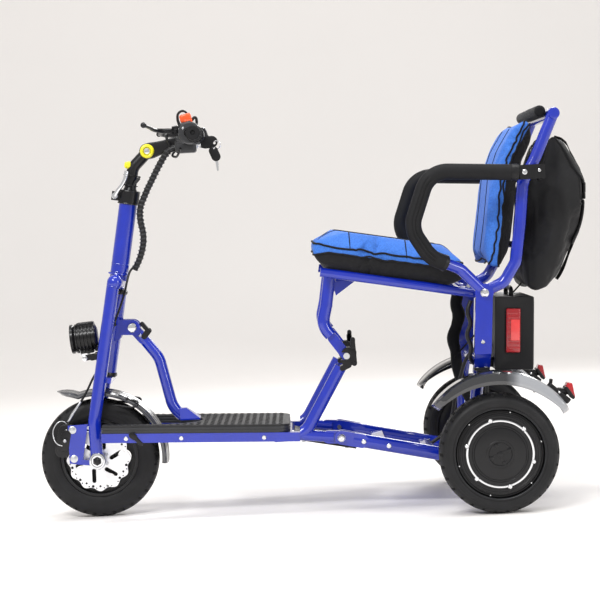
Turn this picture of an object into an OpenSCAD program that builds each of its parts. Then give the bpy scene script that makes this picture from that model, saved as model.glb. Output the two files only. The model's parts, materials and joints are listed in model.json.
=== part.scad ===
// Folding three-wheel electric mobility scooter, drawn as separate pieces.
// +Z is up, the front wheel points to -X, and the rider's left side is -Y.
// The origin lies on the ground, in the middle of the whole machine.

/* [Wheels] */
// Diameter of the front tyre
front_tyre_d = 264; // [256:2:268]
// Width of the front tyre
front_tyre_w = 60; // [50:2:62]
// Diameter of the rear tyres
rear_tyre_d = 254; // [248:2:258]
// Width of the rear tyres
rear_tyre_w = 75; // [66:1:75]
// Distance between the middles of the rear tyres
track = 480; // [476:2:484]

/* [Frame tubes] */
// Diameter of the steering column
column_d = 40; // [38:1:42]
// Diameter of the sliding inner post
post_d = 30; // [26:1:31]
// Diameter of the fork legs
fork_leg_d = 28; // [24:1:30]
// Diameter of the legs under the seat
seat_leg_d = 27; // [24:1:29]
// Diameter of the lower tubes of the rear frame
rear_tube_d = 30; // [26:1:31]
// Diameter of the backrest tubes
back_tube_d = 25; // [22:1:26]

/* [Deck] */
// Half of the width of the deck
deck_half_w = 119; // [117:1:121]
// Height of the side rails of the deck
rail_h = 20; // [18:1:21]
// Thickness of the deck mat with its board
mat_t = 18; // [14:1:19]

/* [Seat] */
// Half of the width of the seat cushion
seat_half_w = 189; // [180:1:190]
// Outer diameter of the foam on the armrests
foam_d = 34; // [30:1:36]

/* [Hidden] */

$fn = 48;
run_gap = 0.05;   // radial gap of a pin or shaft that turns in its hole
slack = 0.6;      // gap between faces that pass each other
bend_swell = 0.4; // a bend is this much thicker than the straight tube
bend_lap = 1;     // length of straight tube inside each end of a bend

// Colours
blue = [0.05, 0.16, 0.72];
black = [0.09, 0.09, 0.10];
soft_black = [0.16, 0.16, 0.17];
silver = [0.78, 0.79, 0.80];
smoke = [0.35, 0.36, 0.38];
light_blue = [0.36, 0.55, 0.82];
yellow = [0.90, 0.85, 0.15];
red = [0.80, 0.08, 0.08];

// Axles and pivots, [x, z]
front_axle_at = [-490, front_tyre_d / 2];
rear_axle_at = [376, rear_tyre_d / 2];
steer_lean = 10.6;
steer_at = [-502, 132];       // a point on the steering axis
fold_at = [-401.5, 419];      // column fold
hinge_at = [48, 161];         // rear frame hinge
knee_at = [68, 338];          // open clip under the seat
back_at = [364, 464];         // backrest pivot
elbow_at = [28, 692];         // bar elbow, in the column's own frame
bar_at = [-233, 833];         // handlebar

leg_y = 108;                  // rails, seat legs and rear tubes
fork_y = 60;
post_y = 207;
back_y = 182.5;
seat_rail_y = 158;
arm_y = 235;
wheel_y = track / 2;
deck_slope = 2.5;
back_eye_w = 8;

// ---------- helpers ----------

function unit(v) = v / norm(v);
function xz(p, y) = [p[0], y, p[1]];

// Straight bar between two points
module rod(a, b, d) {
    v = b - a;
    translate(a)
        rotate([0, acos(v[2] / norm(v)), atan2(v[1], v[0])])
            cylinder(h = norm(v), d = d);
}

// Round tube through points, with an arc of one radius at each inner point
module bent_tube(points, d, bend) {
    last = len(points) - 1;
    turns = [for (i = [0:last]) (i == 0 || i == last) ? 0
        : 180 - acos(unit(points[i - 1] - points[i]) * unit(points[i + 1] - points[i]))];
    cuts = [for (t = turns) bend * tan(t / 2)];
    for (i = [0:last - 1]) {
        along = unit(points[i + 1] - points[i]);
        start = cuts[i] - (i == 0 ? 0 : bend_lap);
        finish = cuts[i + 1] - (i == last - 1 ? 0 : bend_lap);
        rod(points[i] + along * start, points[i + 1] - along * finish, d);
    }
    for (i = [1:last - 1]) {
        u = unit(points[i - 1] - points[i]);
        v = unit(points[i + 1] - points[i]);
        centre = points[i] + unit(u + v) * bend / cos(turns[i] / 2);
        ax = unit(points[i] + u * cuts[i] - centre);
        az = cross(ax, -u);
        multmatrix([[ax[0], -u[0], az[0], centre[0]],
                    [ax[1], -u[1], az[1], centre[1]],
                    [ax[2], -u[2], az[2], centre[2]]])
            rotate_extrude(angle = turns[i]) translate([bend, 0]) circle(d = d + bend_swell);
    }
}

// Cylinder along Y about a point [x, z], from y0 to y1
module y_disc(at, y0, y1, d) {
    translate([at[0], max(y0, y1), at[1]]) rotate([90, 0, 0]) cylinder(h = abs(y1 - y0), d = d);
}

// Flat plate drawn in X and Z, from y0 to y1
module y_plate(y0, y1) {
    translate([0, max(y0, y1), 0]) rotate([90, 0, 0]) linear_extrude(abs(y1 - y0)) children();
}

// Outline of a bar with round ends, in two dimensions
module slot_2d(a, b, w) {
    tilt = atan2(b[1] - a[1], b[0] - a[0]);
    half = [for (t = [-90:15:90]) w / 2 * [cos(t + tilt), sin(t + tilt)]];
    polygon(concat([for (p = half) b + p], [for (p = half) a - p]));
}

// Both sides of the machine
module both() {
    children();
    mirror([0, 1, 0]) children();
}

// The steering column's own frame: +Z along the axis, x behind it
module steered() {
    translate([steer_at[0], 0, steer_at[1]]) rotate([0, steer_lean, 0]) children();
}

function steered_point(p) = [
    steer_at[0] + p[0] * cos(steer_lean) + p[2] * sin(steer_lean), p[1],
    steer_at[1] - p[0] * sin(steer_lean) + p[2] * cos(steer_lean)];

// Part of a wheel-centred band in X and Z, from one angle to another
module arc_band(at, r0, r1, a0, a1, y0, y1) {
    translate([at[0], max(y0, y1), at[1]]) rotate([90, 0, 0])
        rotate_extrude_band(r0, r1, a0, a1, abs(y1 - y0));
}

module rotate_extrude_band(r0, r1, a0, a1, w) {
    rotate([0, 0, a0]) rotate_extrude(angle = a1 - a0) translate([r0, 0]) square([r1 - r0, w]);
}

// Cable swept along a route as one closed skin
module cable(route, d, sides = 8) {
    count = len(route);
    dirs = [for (i = [0:count - 1])
        unit(route[min(i + 1, count - 1)] - route[max(i - 1, 0)])];
    points = [for (i = [0:count - 1])
        let (side = unit(cross(dirs[i], [0.02, 1, 0.01])), up = cross(dirs[i], side))
        for (k = [0:sides - 1])
            route[i] + (side * cos(360 * k / sides) + up * sin(360 * k / sides)) * d / 2];
    walls = [for (i = [0:count - 2]) for (k = [0:sides - 1])
        [i * sides + k, i * sides + (k + 1) % sides,
         (i + 1) * sides + (k + 1) % sides, (i + 1) * sides + k]];
    start = [[for (k = [sides - 1:-1:0]) k]];
    finish = [[for (k = [0:sides - 1]) (count - 1) * sides + k]];
    polyhedron(points, concat(start, walls, finish));
}

// ---------- deck and lower frame ----------

deck_front = -472;
deck_rear = -62;
deck_top_front = 214;
rail_w = 22;
rail_end = -40;
arm_in = 93;              // inner edge of the two arms beside the front wheel
slot_end = -318;          // rear end of the gap for the front wheel

// The deck's own frame: x along the deck from its front end, z down from the mat's top
module on_deck() {
    translate([deck_front, 0, deck_top_front]) rotate([0, deck_slope, 0]) children();
}

deck_len = (deck_rear - deck_front) / cos(deck_slope);
deck_slot = slot_end - deck_front;

module deck_rails() {
    color(blue) both() on_deck()
        translate([0, deck_half_w - rail_w, -mat_t - rail_h])
            cube([rail_end - deck_front, rail_w, rail_h]);
}

module deck_cross_tubes() {
    span = 2 * (deck_half_w - rail_w);
    color(blue) on_deck()
        for (x = [deck_slot + 22, deck_slot + 150, deck_len - 14])
            translate([x, -span / 2, -mat_t - rail_h + 1]) cube([18, span, rail_h - 2]);
}

module deck_mat() {
    corner = 28;
    color(soft_black) on_deck() translate([0, 0, -mat_t]) linear_extrude(mat_t)
        difference() {
            union() {
                translate([0, -deck_half_w]) square([deck_len - corner, 2 * deck_half_w]);
                translate([0, corner - deck_half_w])
                    square([deck_len, 2 * (deck_half_w - corner)]);
                for (s = [-1, 1]) translate([deck_len - corner, s * (deck_half_w - corner)])
                    circle(r = corner);
            }
            translate([-1, -arm_in]) square([deck_slot - arm_in + 61, 2 * arm_in]);
            translate([deck_slot - arm_in + 60, 0]) intersection() {
                circle(r = arm_in);
                translate([-arm_in, -arm_in]) square([2 * arm_in, 2 * arm_in]);
            }
        }
}

down_d = 25;

module down_tube() {
    root_at = [-296, 0, 207];
    color(blue) difference() {
        union() {
            bent_tube([[-386, 0, 400], [-347, 0, 347], [-323, 0, 236], root_at], down_d, 60);
            y_plate(-11, 11) slot_2d(fold_at + [6, -8], [-380, 392], 24);
            y_disc(fold_at, -11, 11, 30);
            hull() {
                translate([-306, -22, 206.5]) cube([44, 44, 3]);
                translate([-308, -9, 206.5]) cube([16, 18, 26]);
            }
        }
        y_disc(fold_at, -30, 30, 12 + 2 * run_gap);
        deck_clear();
    }
}

// Everything below the top of the mat
module deck_clear() {
    on_deck() translate([-20, -200, -60]) cube([700, 400, 60]);
}

module fold_pivot_bolt() {
    color(silver) {
        y_disc(fold_at, -27, 27, 12);
        both() y_disc(fold_at, 27, 33, 21);
    }
}

eye_w = 14;

// Lower seat legs, with the rear frame's hinge eyes at their feet
module seat_legs() {
    color(blue) both() difference() {
        union() {
            bent_tube([[-98, leg_y, 170], [-31, leg_y, 171], [57, leg_y, 319]], seat_leg_d, 45);
            rod([-40, leg_y, 170], [32, leg_y, 162], 24);
            y_plate(leg_y - eye_w / 2, leg_y + eye_w / 2) slot_2d([20, 163], hinge_at, 28);
        }
        y_disc(hinge_at, 0, 200, 10 + 2 * run_gap);
        on_deck() translate([0, 0, -mat_t - rail_h])
            cube([rail_end - deck_front, 200, rail_h + mat_t]);
        translate([55, 80, 305]) rotate([0, 31, 0]) translate([-30, 0, 8]) cube([60, 60, 60]);
    }
}

knee_cheek_in = 5.5;      // half of the gap between a socket's two cheeks
knee_cheek_out = 16;

// Black sockets that hold the knee pins; they are open to the front
module knee_sockets() {
    color(black) both() difference() {
        union() {
            for (s = [-1, 1]) y_plate(leg_y + s * knee_cheek_in, leg_y + s * knee_cheek_out)
                slot_2d([72, 342], [70, 330], 30);
            y_plate(leg_y - knee_cheek_out, leg_y + knee_cheek_out)
                slot_2d([86, 346], [84, 326], 8);
            y_plate(leg_y - knee_cheek_out, leg_y + knee_cheek_out)
                slot_2d([58, 312], [72, 318], 12);
        }
        y_disc(knee_at, 0, 200, 15.2);
        translate([20, 80, knee_at[1] - 8.5]) cube([48, 60, 17]);
    }
}

belly_slope = 11.5;

module belly_cover() {
    color(black) translate([-53, -86, 172]) rotate([0, belly_slope, 0])
        translate([0, 0, -14]) cube([138, 172, 12]);
}

lever_pivot = [84, 322];

module knee_levers() {
    color(black) both() difference() {
        union() {
            y_plate(leg_y + knee_cheek_out + slack, leg_y + knee_cheek_out + 6)
                slot_2d(lever_pivot, [82, 366], 12);
            y_plate(leg_y + knee_cheek_out + slack, leg_y + knee_cheek_out + 14)
                slot_2d([82, 358], [83, 374], 10);
        }
        y_disc(lever_pivot, 0, 200, 6 + 2 * run_gap);
    }
}

// ---------- head and steering ----------

head_top = 374;
head_bottom = 190;
steerer_d = 28.6;
bearing_bore = steerer_d + 2 * run_gap;
head_bore = 36;

module head_tube() {
    lug_h = (fold_at[1] - steer_at[1]) / cos(steer_lean);
    color(blue) difference() {
        union() {
            steered() translate([0, 0, head_bottom]) cylinder(h = head_top - head_bottom, d = 44);
            both() y_plate(11 + slack, 20) {
                slot_2d(fold_at, fold_at + [-40, 2], 34);
                slot_2d([-444, 436], fold_at + [-40, -14], 30);
            }
        }
        steered() translate([0, 0, head_bottom - 1])
            cylinder(h = head_top - head_bottom + 2, d = head_bore);
        y_disc(fold_at, -60, 60, 12 + 2 * run_gap);
    }
}

module headset_bearings() {
    color(silver) steered()
        for (h = [head_bottom, head_top - 12]) translate([0, 0, h]) difference() {
            cylinder(h = 12, d = head_bore);
            translate([0, 0, -1]) cylinder(h = 14, d = bearing_bore);
        }
}

latch_at = [-368, 408];

// Two ears on the down tube that carry the catch
module latch_bracket() {
    color(black) both() difference() {
        y_plate(8 + slack, 12.5) slot_2d([-377, 397], latch_at, 13);
        y_disc(latch_at, -30, 30, 5 + 2 * run_gap);
    }
}

// Catch behind the folding joint, with its pin
module column_latch() {
    color(black) {
        y_plate(-8, 8) slot_2d(latch_at, [-381, 425], 9);
        y_disc(latch_at, -13, 13, 5);
    }
}

crown_h = 396;

module fork() {
    color(blue) difference() {
        union() {
            steered() {
                translate([0, 0, head_bottom - 16])
                    cylinder(h = crown_h - head_bottom + 16, d = steerer_d);
                translate([-2, fork_y, crown_h]) rotate([90, 0, 0]) cylinder(h = 2 * fork_y, d = 34);
                translate([-20, -fork_y, head_bottom - 16]) cube([38, 2 * fork_y, 12]);
                both() {
                    bent_tube([[-5, fork_y, crown_h], [-7, fork_y, 84], [9, fork_y, 8]],
                              fork_leg_d, 70);
                    translate([-2, fork_y, crown_h]) sphere(d = 34 + bend_swell);
                }
            }
            both() y_disc(front_axle_at, fork_y - 7, fork_y + 7, 34);
        }
        y_disc(front_axle_at, -100, 100, 14 + 2 * run_gap);
        both() y_disc(front_axle_at, fork_y + 6.7, fork_y + 20, 31.2);
    }
}

column_from = crown_h + 4;
column_to = 570;

module column_tube() {
    color(blue) steered() difference() {
        translate([0, 0, column_from]) cylinder(h = column_to - column_from, d = column_d);
        translate([0, 0, crown_h + 34])
            cylinder(h = column_to - column_from, d = post_d + 2 * run_gap);
    }
}

collar_top = 601;

module column_collar() {
    color(black) steered() difference() {
        union() {
            translate([0, 0, column_to]) cylinder(h = collar_top - column_to, d = 46);
            translate([-38, -11, column_to + 5]) cube([28, 22, 20]);
        }
        translate([0, 0, column_to - 1]) cylinder(h = 60, d = post_d + 0.6);
        translate([-40, -1.5, column_to - 1]) cube([30, 3, 60]);
        translate([-30, 0, column_to + 15]) rotate([90, 0, 0]) cylinder(h = 60, d = 6, center = true);
    }
}

module collar_lever() {
    color(silver) steered() translate([-30, 0, column_to + 15]) {
        rotate([90, 0, 0]) cylinder(h = 42, d = 6 - 2 * run_gap, center = true);
        translate([0, -11 - slack, 0]) rotate([90, 0, 0]) cylinder(h = 10, d = 14);
        translate([0, 21, 0]) rotate([90, 0, 0]) cylinder(h = 9, d = 12);
        translate([-4, -21.6, 0]) cube([8, 8, 46]);
    }
}

module front_axle() {
    color(silver) {
        y_disc(front_axle_at, -78, 78, 14);
        both() y_disc(front_axle_at, fork_y + 7, fork_y + 15, 30);
    }
}

fender_r = 146;

// Front mudguard with a pointed nose
module front_fender() {
    half = 36;
    color(smoke) {
        arc_band(front_axle_at, fender_r, fender_r + 5, -7, 116, -half, half);
        hull() {
            nose_root = front_axle_at + (fender_r + 2.5) * [cos(114), sin(114)];
            y_disc(nose_root, -half + 1, half - 1, 6.4);
            y_disc([-579, 283], -14, 14, 4);
        }
    }
}

// Plate in front of the left fork leg that carries the caliper
module caliper_plate() {
    color(blue) difference() {
        y_plate(-fork_y - 4, -fork_y + 1) polygon([[-552, 212], [-552, 128], [-496, 120],
                                                   [-478, 140], [-480, 214]]);
        y_disc(front_axle_at, -80, -40, 36);
        steered() translate([-7, -fork_y, 0]) cylinder(h = 200, d = fork_leg_d);
        for (p = [[-542, 202], [-542, 138]]) y_disc(p, -80, -40, 6);
    }
}

rotor_y = -41;

module brake_caliper() {
    color(black) difference() {
        y_plate(-fork_y - 2, -34) slot_2d([-557, 198], [-566, 158], 34);
        y_plate(rotor_y - 3.2, rotor_y + 3.2) translate(front_axle_at) circle(r = 73);
        y_plate(-fork_y - 5, -fork_y + 2) translate([-552, 110]) square([80, 110]);
    }
}

light_at = [-512, 400];

module headlight_bracket() {
    color(black) {
        y_disc([-491, 358], -50, 50, 8);
        both() {
            y_plate(47, 53) slot_2d([-470, 362], [-491, 358], 12);
            y_plate(5 + slack, 9) slot_2d([-512, 355], [-492, 358], 12);
        }
    }
}

brake_route = [[-393, -10, 552], [-400, -17, 543], [-407, -24, 522], [-413, -30, 498],
               [-423, -34, 470], [-440, -34, 430], [-456, -34, 380], [-474, -35, 340],
               [-492, -38, 314], [-506, -42, 288], [-522, -46, 262], [-540, -48, 238],
               [-553, -48, 221]];

module brake_cable() {
    color(black) cable(brake_route, 5);
}

// Ribbed round lamp housing
module headlight_shell() {
    color(black) translate(xz(light_at, 0)) rotate([0, -90 - 4, 0]) {
        translate([0, 0, -28]) cylinder(h = 50, d = 62);
        for (k = [0:4]) translate([0, 0, -26 + 10 * k]) cylinder(h = 5, d = 66);
        translate([0, 0, 22]) difference() {
            cylinder(h = 7, d = 64);
            translate([0, 0, 2]) cylinder(h = 6, d = 56);
        }
    }
    color(silver) difference() {
        y_plate(-5, 5) slot_2d([-512, 372], [-512, 355], 14);
        y_disc([-512, 355], -20, 20, 5);
    }
}

module headlight_lens() {
    color(silver) translate(xz(light_at, 0)) rotate([0, -90 - 4, 0])
        translate([0, 0, 24]) cylinder(h = 4, d = 55.8);
}

// ---------- post, elbow and handlebar ----------

module stem_post() {
    color(black) steered() difference() {
        union() {
            translate([0, 0, 496]) cylinder(h = 182, d = post_d);
            rod([4, 0, 660], xz(elbow_at, 0), 24);
            y_disc(elbow_at, -12, 12, 34);
        }
        y_disc(elbow_at, -40, 40, 10 + 2 * run_gap);
        translate([0, 0, 490]) cylinder(h = 140, d = post_d - 7);
    }
}

elbow_world = steered_point(xz(elbow_at, 0));
arm_dir = unit([bar_at[0] - elbow_world[0], 0, bar_at[1] - elbow_world[2]]);

module stem_arm() {
    ex = [elbow_world[0], elbow_world[2]];
    dir = [arm_dir[0], arm_dir[2]];
    color(black) {
        both() y_plate(12 + slack, 19) slot_2d(ex, ex + 38 * dir, 34);
        difference() {
            rod(elbow_world + arm_dir * 30, xz(bar_at, 0) - arm_dir * 6, 30);
            y_disc(bar_at, -40, 40, 22.2);
            y_disc(ex, -12 - slack, 12 + slack, 38);
        }
        difference() {
            y_disc(bar_at, -22, 22, 38);
            y_disc(bar_at, -40, 40, 22.2);
        }
    }
    color(yellow) {
        y_disc(ex, -25, 25, 10);
        both() y_disc(ex, 19, 24, 31);
    }
}

bar_half = 232;
grip_from = 122;

module handlebar() {
    color(black) y_disc(bar_at, -bar_half, bar_half, 22.2);
}

module grip_left() {
    color(soft_black) difference() {
        union() {
            y_disc(bar_at, -grip_from - 30, -bar_half - 4, 32);
            y_disc(bar_at, -bar_half - 4, -bar_half, 31);
        }
        y_disc(bar_at, -grip_from, -bar_half, 22.2);
        y_disc(bar_at, -bar_half + 2, -bar_half - 8, 12);
    }
}

module throttle_grip() {
    color(soft_black) difference() {
        union() {
            y_disc(bar_at, grip_from + 12, bar_half + 4, 32);
            y_disc(bar_at, grip_from + 12, grip_from + 20, 40);
        }
        y_disc(bar_at, grip_from, bar_half + 2 * run_gap, 22.2 + 2 * run_gap);
    }
}

housing_at = bar_at + [-12, 4];
housing_d = 48;
lock_at = [-240, -72, 813];    // face of the ignition lock

// Switch housing on the left, display and lock housing beside the stem
module control_pod() {
    color(soft_black) difference() {
        union() {
            y_disc(housing_at, -grip_from - 28, -grip_from + 18, housing_d);
            translate([-281, -92, 797]) cube([50, 40, 29]);
            y_disc(bar_at, -92, -52, 34);
        }
        y_disc(bar_at, -200, 0, 22.2);
        translate(lock_at) rotate([0, 90, 0]) cylinder(h = 30, d = 10 + 2 * run_gap);
        translate(switch_at - [10, 9, 7]) cube([20, 18, 30]);
    }
}

lever_pivot_at = bar_at + [-43, 11];

module lever_perches() {
    color(black) difference() {
        union() {
            for (y = [-grip_from + 18, grip_from - 8]) {
                y_disc(bar_at, y + (y < 0 ? 0 : -12), y + (y < 0 ? 12 : 0), 33);
                s = sign(y);
                for (z = [-10, 5])
                    translate([lever_pivot_at[0] - 8, min(s * 96, s * 112), lever_pivot_at[1] + z])
                        cube([44, 16, 5]);
            }
        }
        y_disc(bar_at, -200, 200, 22.2);
        for (s = [-1, 1]) translate([lever_pivot_at[0], s * 104, lever_pivot_at[1] - 20])
            cylinder(h = 40, d = 5 + 2 * run_gap);
    }
}

// One brake lever for the right side; it pivots on a pin that is part of it
module lever_shape() {
    at = [lever_pivot_at[0], 104, lever_pivot_at[1]];
    tip = at + [-60, 122, 10];
    color(silver) {
        translate(at - [0, 0, 10]) cylinder(h = 20, d = 5);
        translate(at - [0, 0, 4.4]) cylinder(h = 8.8, d = 14);
    }
    color(black) {
        difference() {
            bent_tube([at + [-3, 0, 0], at + [-42, 20, 3], tip], 9, 22);
            translate(at - [0, 0, 10]) cylinder(h = 20, d = 5);
        }
        translate(tip) sphere(d = 17);
    }
}

module brake_lever_right() {
    lever_shape();
}

module brake_lever_left() {
    mirror([0, 1, 0]) lever_shape();
}

bow_at = [-211, lock_at[2]];

module ignition_key() {
    color(silver) translate(lock_at) rotate([0, 90, 0]) cylinder(h = 20, d = 10);
    color(black) difference() {
        y_plate(-75, -69) slot_2d(bow_at - [2, 0], bow_at + [4, 1], 21);
        y_disc(bow_at + [11, 0], -80, -60, 5);
    }
}

// Spare key and fob on a ring through the bow
module key_fob() {
    ring_at = bow_at + [11, 0];
    color(silver) y_disc(ring_at, -79, -65, 4.4);
    color(black) {
        y_plate(-84, -79) slot_2d(ring_at + [0, -2], ring_at + [5, -22], 16);
        y_plate(-83, -80) slot_2d(ring_at + [5, -28], ring_at + [7, -50], 4);
    }
}

switch_at = [housing_at[0] - 2, -128, housing_at[1] + 21];

module power_switch() {
    color(red) translate(switch_at - [9.4, 8.4, 3]) cube([18.8, 16.8, 13]);
}

// ---------- cables ----------

loom_d = 14;
loom_top = [[-272, -34, 812], [-286, -34, 810], [-301, -33, 803], [-312, -31, 789],
            [-324, -29, 770], [-336, -27, 749], [-348, -25, 728]];
loom_low = [[-350, -24.5, 724], [-360, -23, 704], [-368, -21.5, 686], [-371, -19, 668],
            [-370, -16, 649], [-367, -12, 630], [-367, -8, 610], [-371, -5, 590],
            [-379, -3, 568], [-391, -1, 546]];

module cable_bars() {
    color(black) cable(loom_top, loom_d);
}

module cable_post() {
    color(black) cable(loom_low, loom_d);
}

// ---------- wheels ----------

// Section of a tyre in radius and width
module tyre_section(r_out, r_in, w, shoulder) {
    flat = w / 2 - shoulder;
    translate([r_in, -w / 2 + 4]) square([r_out - shoulder - r_in, w - 8]);
    translate([r_in + 3, -w / 2]) square([r_out - shoulder - r_in - 3, w]);
    translate([r_in, -flat]) square([r_out - r_in, 2 * flat]);
    for (s = [-1, 1]) translate([r_out - shoulder, s * flat]) circle(r = shoulder);
}

module wheel_at(at, y) {
    translate([at[0], y, at[1]]) rotate([90, 0, 0]) children();
}

front_bead_r = 86;

module front_tyre() {
    color(soft_black) wheel_at(front_axle_at, 0) rotate_extrude()
        tyre_section(front_tyre_d / 2, front_bead_r, front_tyre_w, 22);
}

module front_rim() {
    color(black) wheel_at(front_axle_at, 0) {
        difference() {
            translate([0, 0, -24]) cylinder(h = 48, r = front_bead_r);
            for (z = [-25, 8]) translate([0, 0, z]) difference() {
                cylinder(h = 17, r = front_bead_r - 7);
                translate([0, 0, -1]) cylinder(h = 19, r = 30);
            }
            for (a = [0:72:359]) rotate(a) translate([54, 0, -30]) cylinder(h = 60, r = 15);
            translate([0, 0, -40]) cylinder(h = 80, d = 14 + 2 * run_gap);
        }
        difference() {
            translate([0, 0, 24]) cylinder(h = -rotor_y - 1.5 - 24, r = 24);
            cylinder(h = 60, d = 14 + 2 * run_gap);
        }
    }
}

// Brake disc with round holes and long slots
module brake_rotor() {
    color(silver) wheel_at(front_axle_at, rotor_y + 1.5) difference() {
        union() {
            cylinder(h = 3, r = 68);
            for (a = [0:30:359]) rotate(a) translate([61, 0, 0]) cylinder(h = 3, r = 10.5);
        }
        translate([0, 0, -1]) cylinder(h = 5, d = 14 + 2 * run_gap);
        for (a = [15:30:359]) rotate(a) translate([63, 0, -1]) cylinder(h = 5, r = 3);
        for (a = [0:60:359]) rotate(a) translate([0, 0, -1]) linear_extrude(5)
            slot_2d([30, 0], [46, 10], 6);
    }
}

rear_bead_r = 94;
motor_half = 31;

module rear_tyre(s) {
    color(soft_black) wheel_at(rear_axle_at, s * wheel_y) difference() {
        rotate_extrude() tyre_section(rear_tyre_d / 2, rear_bead_r - 2, rear_tyre_w, 26);
        cylinder(h = 2 * rear_tyre_w, r = rear_bead_r, center = true);
    }
}

// Hub motor shell with its screwed cover
module rear_motor(s) {
    color(black) translate([rear_axle_at[0], s * wheel_y, rear_axle_at[1]])
        rotate([-s * 90, 0, 0]) difference() {
            union() {
                translate([0, 0, -28]) cylinder(h = 56, r = rear_bead_r);
                cylinder(h = motor_half, r = 86);
                cylinder(h = motor_half + 2, r = 66);
                for (a = [14:60:359]) rotate(a) translate([72, 0, 0])
                    cylinder(h = motor_half + 3, r = 4.5);
            }
            translate([0, 0, -40]) cylinder(h = 60, d = 16 + 2 * run_gap);
        }
}

// ---------- rear frame ----------

beam_half = 188;

module rear_frame() {
    ear_in = eye_w / 2 + slack;
    color(blue) {
        both() {
            rod([74, leg_y, 155], [330, leg_y, 98], rear_tube_d);
            rod([322, leg_y, 99.8], [376, leg_y, 124], rear_tube_d);
            for (s = [-1, 1]) difference() {
                y_plate(leg_y + s * ear_in, leg_y + s * 14) slot_2d(hinge_at, [92, 151], 30);
                y_disc(hinge_at, 0, 200, 10);
            }
        }
        y_disc(rear_axle_at, -beam_half, beam_half, 40);
        for (x = [118, 226]) translate([x, -leg_y, 155 - (x - 74) * 0.2227 - 8])
            cube([26, 2 * leg_y, 12]);
        translate([140, -80, 136]) rotate([0, 12.5, 0]) cube([110, 160, 3]);
        y_disc([352, 306], -171, 171, 18);
        both() translate([352, 60, 300]) cube([36.2, 14, 8]);
    }
}

module frame_bolts() {
    color(silver) {
        both() {
            y_disc(hinge_at, leg_y - 20, leg_y + 20, 10);
            y_disc(hinge_at, leg_y + 14, leg_y + 20, 17);
            y_disc(back_at, seat_rail_y, post_y + 12, 10);
            y_disc(back_at, post_y + 12, post_y + 17, 18);
            y_disc(knee_at, leg_y - 15.5, leg_y + 15.5, 14);
            y_disc(rear_axle_at, beam_half, wheel_y + 14, 16);
        }
    }
}

post_w = 20;
post_l = 36;
arm_tube_d = 24;
arm_route = [xz(back_at, post_y) + [-6, 1, 8], [316, post_y + 4, 517], [252, arm_y, 545],
             [214, arm_y, 608], [258, arm_y, 726], [446, arm_y, 714]];

// Upright posts that run on into the armrests
module seat_posts() {
    color(blue) both() difference() {
        union() {
            y_plate(post_y - post_w / 2, post_y + post_w / 2)
                polygon([[346, 466], [337, 336], [373, 334], [382, 464]]);
            y_disc(back_at, post_y - post_w / 2, post_y + post_w / 2, post_l + 3);
            hull() {
                translate([338, post_y - post_w / 2, 334]) cube([34, post_w, 3]);
                translate([336, 162, 292]) cube([34, 24, 3]);
            }
            bent_tube([[353, 176, 312], [343, 171, 262], [330, 126, 112]], 26, 60);
            bent_tube(arm_route, arm_tube_d, 36);
        }
        y_disc(back_at, 100, 300, 10);
    }
}

// Blocks on the rear ends of the armrests, whose lips hold the backrest tubes from behind
module armrest_ends() {
    color(black) both() {
        translate([447, 198, 699]) cube([53, 52, 30]);
        translate([492, 172, 696]) cube([8, 27, 22]);
    }
}

foam_route = [[284, 221, 531], [252, arm_y, 545], [214, arm_y, 608], [258, arm_y, 726],
              [440, arm_y, 714.4]];

module armrest_pads() {
    color(soft_black) both() bent_tube(foam_route, foam_d, 36);
}

rear_fender_r = 168;

module rear_fenders() {
    color(smoke) both() {
        arc_band(rear_axle_at, rear_fender_r, rear_fender_r + 4, 28, 141, 200, 276);
        translate([338, 188, 299.5]) cube([30, 14, 4]);
    }
}

// Black holders on the mudguards with their red reflectors
module reflectors() {
    hold_at = rear_axle_at + (rear_fender_r + 4) * [cos(44), sin(44)];
    color(black) both() {
        translate(xz(hold_at, 222)) rotate([0, 46, 0]) translate([-22, 0, 0]) cube([44, 32, 9]);
        translate(xz(hold_at, 222)) rotate([0, 46, 0]) translate([-18, 12, 9]) cube([8, 8, 8]);
        y_plate(225, 251) slot_2d(hold_at + [10, 6], hold_at + [20, 6], 8);
    }
    color(red) both() translate(xz(hold_at, 220) + [22, 0, 8]) rotate([0, 66, 0])
        translate([-20, 0, 0]) cube([38, 36, 9]);
}

module battery_case() {
    color(black) difference() {
        translate([388, -118, 291]) rotate([0, 3, 0]) cube([84, 236, 160]);
        translate([412, -119, 322]) rotate([0, 3, 0]) cube([36, 9, 108]);
    }
}

module tail_lamp() {
    color(red) translate([414, -117.5, 326]) rotate([0, 3, 0]) cube([32, 7, 98]);
}

module seat_rails() {
    front = [20, 524];
    color(blue) {
        both() {
            difference() {
                union() {
                    rod(xz(front, seat_rail_y), xz(back_at + [-14, -3], seat_rail_y), 20);
                    y_disc(back_at, seat_rail_y - 10, seat_rail_y + 10, 28);
                }
                y_disc(back_at, 100, 300, 10);
            }
            bent_tube([[36, leg_y, 384], [19, leg_y, 406], [30, leg_y, 450], [40, leg_y, 512]],
                      seat_leg_d, 40);
            y_plate(leg_y - 4.8, leg_y + 4.8) difference() {
                slot_2d(knee_at, [40, 378], 22);
                translate(knee_at) circle(d = 14);
            }
        }
        rod([40, -seat_rail_y, 517], [40, seat_rail_y, 517], 22);
        rod([330, -seat_rail_y, 467], [330, seat_rail_y, 467], 18);
    }
    color(black) both() y_plate(leg_y - 3, leg_y + 3)
        polygon([[44, 500], [52, 470], [96, 500], [96, 502]]);
}

// Slab with a crowned front edge, standing for the seat cushion
module seat_cushion() {
    color(soft_black) y_plate(-seat_half_w, seat_half_w) hull() {
        translate([16, 582]) circle(r = 20, $fn = 32);
        translate([14, 556]) circle(r = 16, $fn = 32);
        translate([322, 530]) circle(r = 14, $fn = 32);
        translate([322, 496]) circle(r = 14, $fn = 32);
        translate([40, 548]) circle(r = 12, $fn = 32);
    }
}

// ---------- backrest ----------

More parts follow.
